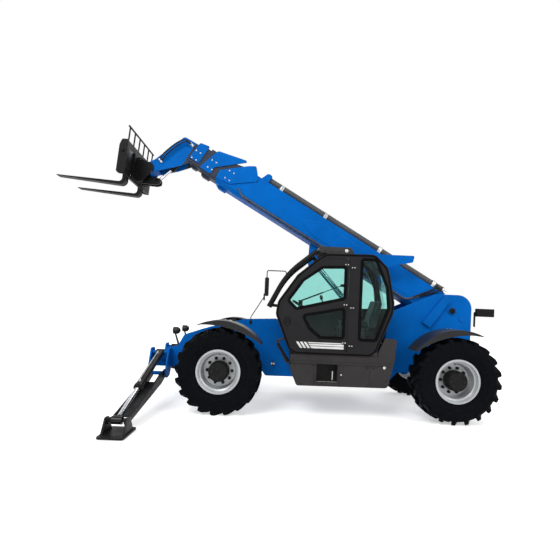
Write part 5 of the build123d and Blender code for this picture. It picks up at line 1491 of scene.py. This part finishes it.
@dataclass
class Chassis:
    """Fittings of the chassis: lamps, plate webs, pivot caps and bolts."""

    at: Layout
    lamp_high: float = 1.150
    lamp_out: float = 0.328
    lens_out: float = 0.25
    lens_half: float = 0.044
    guard_r: float = 0.745

    def lamps(self) -> None:
        """Lenses of the front, side and rear lamps."""
        clear, red, amber = Form(), Form(), Form()
        for s in (1, -1):
            place = axes(self.at.cab(0.870, self.lamp_high, s * self.lamp_out), LEFTWARD, FORWARD)
            clear.lathe([(-0.004, 0.0), (-0.004, 0.050), (0.004, 0.050), (0.010, 0.04), (0.014, 0.02),
                         (0.015, 0.0)], place, 40)
            rear = self.at.rear.x - 0.593
            right, left = s * self.lens_out - self.lens_half, s * self.lens_out + self.lens_half
            for lens, low, high in ((red, 1.058, 1.142), (amber, 0.958, 1.046)):
                lens.block((rear - 0.004, right, low), (rear + 0.002, left, high), 0.003)
            y = s * (self.at.plate_out + 0.025)
            for x in (-0.797, -0.763):
                clear.block(self.at.cab(x - 0.012, 0.662, min(y, y + s * 0.004)),
                            self.at.cab(x + 0.012, 0.688, max(y, y + s * 0.004)), 0.0015)
        clear.piece("lamp_lenses", CLEAR_LENS, "chassis")
        red.piece("rear_lenses", RED_LENS, "chassis")
        amber.piece("amber_lenses", AMBER_LENS, "chassis")

    def plate_bolts(self) -> None:
        """Bolts on the side plates, and a cap on each end of the boom's pivot."""
        bolts = ((0.60, 0.92), (0.72, 0.86), (0.34, 1.00), (-0.28, 1.24), (-0.70, 1.24), (-3.30, 1.06),
                 (-3.78, 1.06), (-3.86, 0.76))
        for s in (1, -1):
            y = s * self.at.plate_out
            spots = [self.at.cab(x, z, y) for x, z in bolts]
            cap = Form()
            cap.lathe([(-0.002, 0.0), (-0.002, 0.048), (0.010, 0.048), (0.016, 0.042), (0.016, 0.014),
                       (0.024, 0.014), (0.026, 0.011), (0.026, 0.0)],
                      axes((self.at.pivot.x, y + s * 0.018, self.at.pivot.z), FORWARD, (0, s, 0)), 40)
            cap.piece(f"pivot_cap_{Side(s).word}", BLACK, "chassis")
            fit(f"plate_bolts_{Side(s).word}", Repeats.bolts(spots, (0, s, 0), 0.013, BLUE), BLUE,
                "chassis")

    def webs(self) -> None:
        """Plate webs that carry each side plate on to the cab's and the engine's mounts."""
        outline = rounded([(-0.740, 1.378), (-1.150, 1.378), (-1.150, 0.560), (-0.740, 0.560)], 0.004, 2)
        for side in Side:
            made = Form()
            outer = self.at.plate_out - 0.0015 if side is Side.LEFT else -self.at.plate_out + 0.0225
            made.slab(outline, 0.021, self.at.side_face(outer), 0.002)
            made.piece(f"plate_web_{side.word}", BLUE, "chassis")

    def lamp_backs(self) -> None:
        """Domed backs of the front lamps."""
        made = Form()
        for s in (1, -1):
            place = axes(self.at.cab(0.803, self.lamp_high, s * self.lamp_out), LEFTWARD, (-1, 0, 0))
            made.lathe([(-0.01, 0.0), (-0.01, 0.0575), (0.004, 0.0565), (0.022, 0.048), (0.038, 0.032),
                        (0.046, 0.014), (0.048, 0.0)], place, 40)
        made.piece("lamp_backs", LAMP, "chassis")

    def guard_bolts(self) -> None:
        """Bolts through each mudguard's top into its bracket."""
        for end in End:
            for side in Side:
                hub = joint_point(f"wheel_{end.value}_{side.word}_spin")
                spots = [hub + Vector((x, side.value * -0.22, math.sqrt(self.guard_r ** 2 - x ** 2)))
                         for x in (-0.03, 0.03)]
                fit(f"guard_bolts_{end.value}_{side.word}", Repeats.bolts(spots, (0, 0, 1), 0.008, ZINC),
                    ZINC, f"knuckle_{end.value}_{side.word}")

    def build(self) -> None:
        """Make the chassis pieces."""
        self.lamps()
        self.lamp_backs()
        self.webs()
        self.plate_bolts()
        self.guard_bolts()


@dataclass
class Cylinder:
    """Wiper ring and port fittings of one hydraulic cylinder."""

    name: str
    barrel_body: str
    base: Vector
    tip: Vector
    barrel_r: float
    rod_r: float
    share: float
    port: Point
    first_port: float = 0.16
    last_port: float = 0.075
    bend: float = 0.04

    def build(self) -> None:
        """Make the cylinder's pieces."""
        along = (self.tip - self.base).normalized()
        end = (self.tip - self.base).length * self.share
        gland = Form()
        place = axes(self.base + along * end, self.port, along)
        gland.lathe([(0.0006, self.barrel_r + 0.001), (0.004, self.barrel_r - 0.003),
                     (0.010, self.rod_r + 0.012), (0.010, self.rod_r + 0.0015),
                     (0.0006, self.rod_r + 0.0015)], place, 48, True)
        gland.piece(f"gland_{self.name}", BLACK, self.barrel_body)
        fitting = ((-0.004, 0.0), (-0.004, 0.018), (0.014, 0.018), (0.016, 0.013), (0.032, 0.013),
                   (0.034, 0.009), (0.034, 0.0))
        ports = Form()
        first, last = self.first_port, end - self.last_port
        for at in (first, last):
            out = axes(self.base + along * at, along, self.port)
            ports.lathe([(self.barrel_r + rise, radius) for rise, radius in fitting], out, 6)
        side = Vector(self.port).normalized()
        lift = self.barrel_r + 0.026
        stops = (first, first + self.bend, last - self.bend, last)
        ports.tube([self.base + along * stop + side * lift for stop in stops], 0.0065, 10)
        ports.piece(f"ports_{self.name}", ZINC, self.barrel_body)


@dataclass
class Studio:
    """Floor, light and the camera at the photograph's place."""

    at: Layout
    camera_from_front: Point = (-0.811, 7.0, 1.585)
    roll: float = math.radians(2.385)
    focal_share: float = 406.0 / 560.0
    sensor: float = 36.0
    shift: Flat = (3.0 / 560.0, 28.0 / 560.0)
    floor_size: float = 60.0
    floor_lift: float = 0.46
    world_level: float = 0.62
    light_target: Point = (0.0, 0.0, 1.4)

    def camera(self) -> None:
        """Place the camera as the photograph's was."""
        data = bpy.data.cameras.new("photo_camera")
        data.sensor_width = self.sensor
        data.lens = self.focal_share * self.sensor
        data.shift_x, data.shift_y = self.shift
        data.clip_end = 200.0
        made = put("photo_camera", data)
        x, y, z = self.camera_from_front
        look = Vector((0, -1, 0)).to_track_quat("-Z", "Y").to_matrix().to_4x4()
        place = Matrix.Translation((self.at.front.x + x, y, z)) @ look @ Matrix.Rotation(self.roll, 4, "Z")
        made.matrix_world = place
        bpy.context.scene.camera = made

    def floor(self) -> None:
        """A pale floor that keeps the machine's shadow."""
        grid = bmesh.new()
        bmesh.ops.create_grid(grid, x_segments=1, y_segments=1, size=self.floor_size)
        mesh = bpy.data.meshes.new("floor")
        grid.to_mesh(mesh)
        grid.free()
        shader = Shader("floor_pale")
        tone = shader.mix(shader.noise(3.0, 4.0), (0.86, 0.86, 0.86), (0.9, 0.9, 0.9))
        glow = shader.math("MULTIPLY", shader.seen_bare(), self.floor_lift)
        shader.surface(Base_Color=tone, Roughness=0.9, Specular_IOR_Level=0.0, Emission_Color=WHITE,
                       Emission_Strength=glow)
        mesh.materials.append(shader.material)
        floor = put("floor", mesh)

    def light(self) -> None:
        """Soft overcast light with a broad key from the camera's left."""
        world = bpy.data.worlds.new("studio")
        bpy.context.scene.world = world
        world.use_nodes = True
        tree = Tree(world.node_tree)
        back = world.node_tree.nodes["Background"]
        tree.feed(back.inputs["Strength"], tree.span(tree.seen_bare(), (0.0, self.world_level), (1.0, 1.0)))
        tree.feed(back.inputs["Color"], WHITE)
        for name, place, size, power in (("key", (11.0, 20.0, 22.0), 16.0, 5200.0),
                                         ("fill", (-20.0, 17.0, 15.0), 18.0, 2400.0),
                                         ("back", (-5.0, -24.0, 22.0), 18.0, 2600.0)):
            data = bpy.data.lights.new(name, "AREA")
            data.shape = "DISK"
            data.size = size
            data.energy = power
            lamp = put(name, data)
            aim = (Vector(self.light_target) - Vector(place)).to_track_quat("-Z", "Y").to_matrix().to_4x4()
            lamp.matrix_world = Matrix.Translation(place) @ aim

    def build(self) -> None:
        """Make the studio."""
        self.camera()
        self.floor()
        self.light()
        bpy.context.scene.view_settings.view_transform = "Standard"


def own_finishes(at: Layout, rams: Sequence[Cylinder]) -> Dict[str, Finish]:
    """Finishes of nodes that need their own: rods with painted eyes and sliding boom sections.

    Args:
        at: The machine's datums.
        rams: The hydraulic cylinders.

    Returns:
        The finish of each such node.
    """
    made: Dict[str, Finish] = {}
    for ram in rams:
        along = (ram.tip - ram.base).normalized()
        node = f"{ram.name}_rod"
        made[node] = RodFinish(f"{node}_chrome", "steel", Surface.BARE_METAL, CHROME.colour,
                               CHROME.roughness, metallic=CHROME.metallic, grain=CHROME.grain,
                               grain_depth=CHROME.grain_depth, edge=CHROME.edge, start=tuple(ram.base),
                               along=tuple(along), until=(ram.tip - ram.base).length - 2.2 * ram.rod_r)
    for node, half, until in (("boom_second", 0.175, FAR), ("boom_third", 0.150, FAR),
                              ("boom_nose", 0.125, at.boom_length + 0.62)):
        reach = at.boom(until, 0.0, 0.0).dot(at.boom_along)
        made[node] = SlideFinish(f"{node}_paint", "blue", Surface.PAINT, BLUE.colour, BLUE.roughness,
                                 dust=BLUE.dust, wear=BLUE.wear, shine=BLUE.shine, half=half, until=reach,
                                 along=tuple(at.boom_along))
    return made


def dress_nodes(own: Dict[str, Finish]) -> None:
    """Give every CAD node its finish.

    Args:
        own: The nodes with a finish of their own.
    """
    for part in frame["record"]["subparts"]:
        node = frame["nodes"][part["node"]]
        finish = own.get(part["node"], NODE_FINISH[part["material_slot"]])
        if not node.material_slots:
            node.data.materials.append(None)
        for place in node.material_slots:
            place.material = finish.material()


def cylinders(at: Layout) -> List[Cylinder]:
    """The machine's hydraulic cylinders, from the record's joints.

    Args:
        at: The machine's datums.

    Returns:
        The cylinders.
    """
    made = [Cylinder("lift", "lift_barrel", joint_point("lift_barrel_swing"), at.boom(2.3, -0.5, 0.0),
                     0.085, 0.050, 0.665, LEFTWARD),
            Cylinder("tilt", "tilt_barrel", joint_point("tilt_barrel_swing"), at.tool_at(-0.14, -0.19, 0.0),
                     0.052, 0.028, 0.62, LEFTWARD)]
    for side in Side:
        base = joint_point(f"stabiliser_{side.word}_barrel_swing")
        tip = joint_point(f"stabiliser_{side.word}_pad")
        made.append(Cylinder(f"stabiliser_{side.word}", f"stab_barrel_{side.word}", base, tip, 0.055, 0.032,
                             0.6, (0, 0, 1)))
    return made


def main() -> None:
    """Build the scene in order."""
    logging.basicConfig(level=logging.INFO, format="%(message)s")
    at = Layout()
    Studio(at).build()
    rams = cylinders(at)
    dress_nodes(own_finishes(at, rams))
    Boom(at).build()
    for end in End:
        for side in Side:
            Wheel(end, side).build()
    Cab(at).build()
    Chassis(at).build()
    for ram in rams:
        ram.build()


if __name__ == "__main__":
    main()
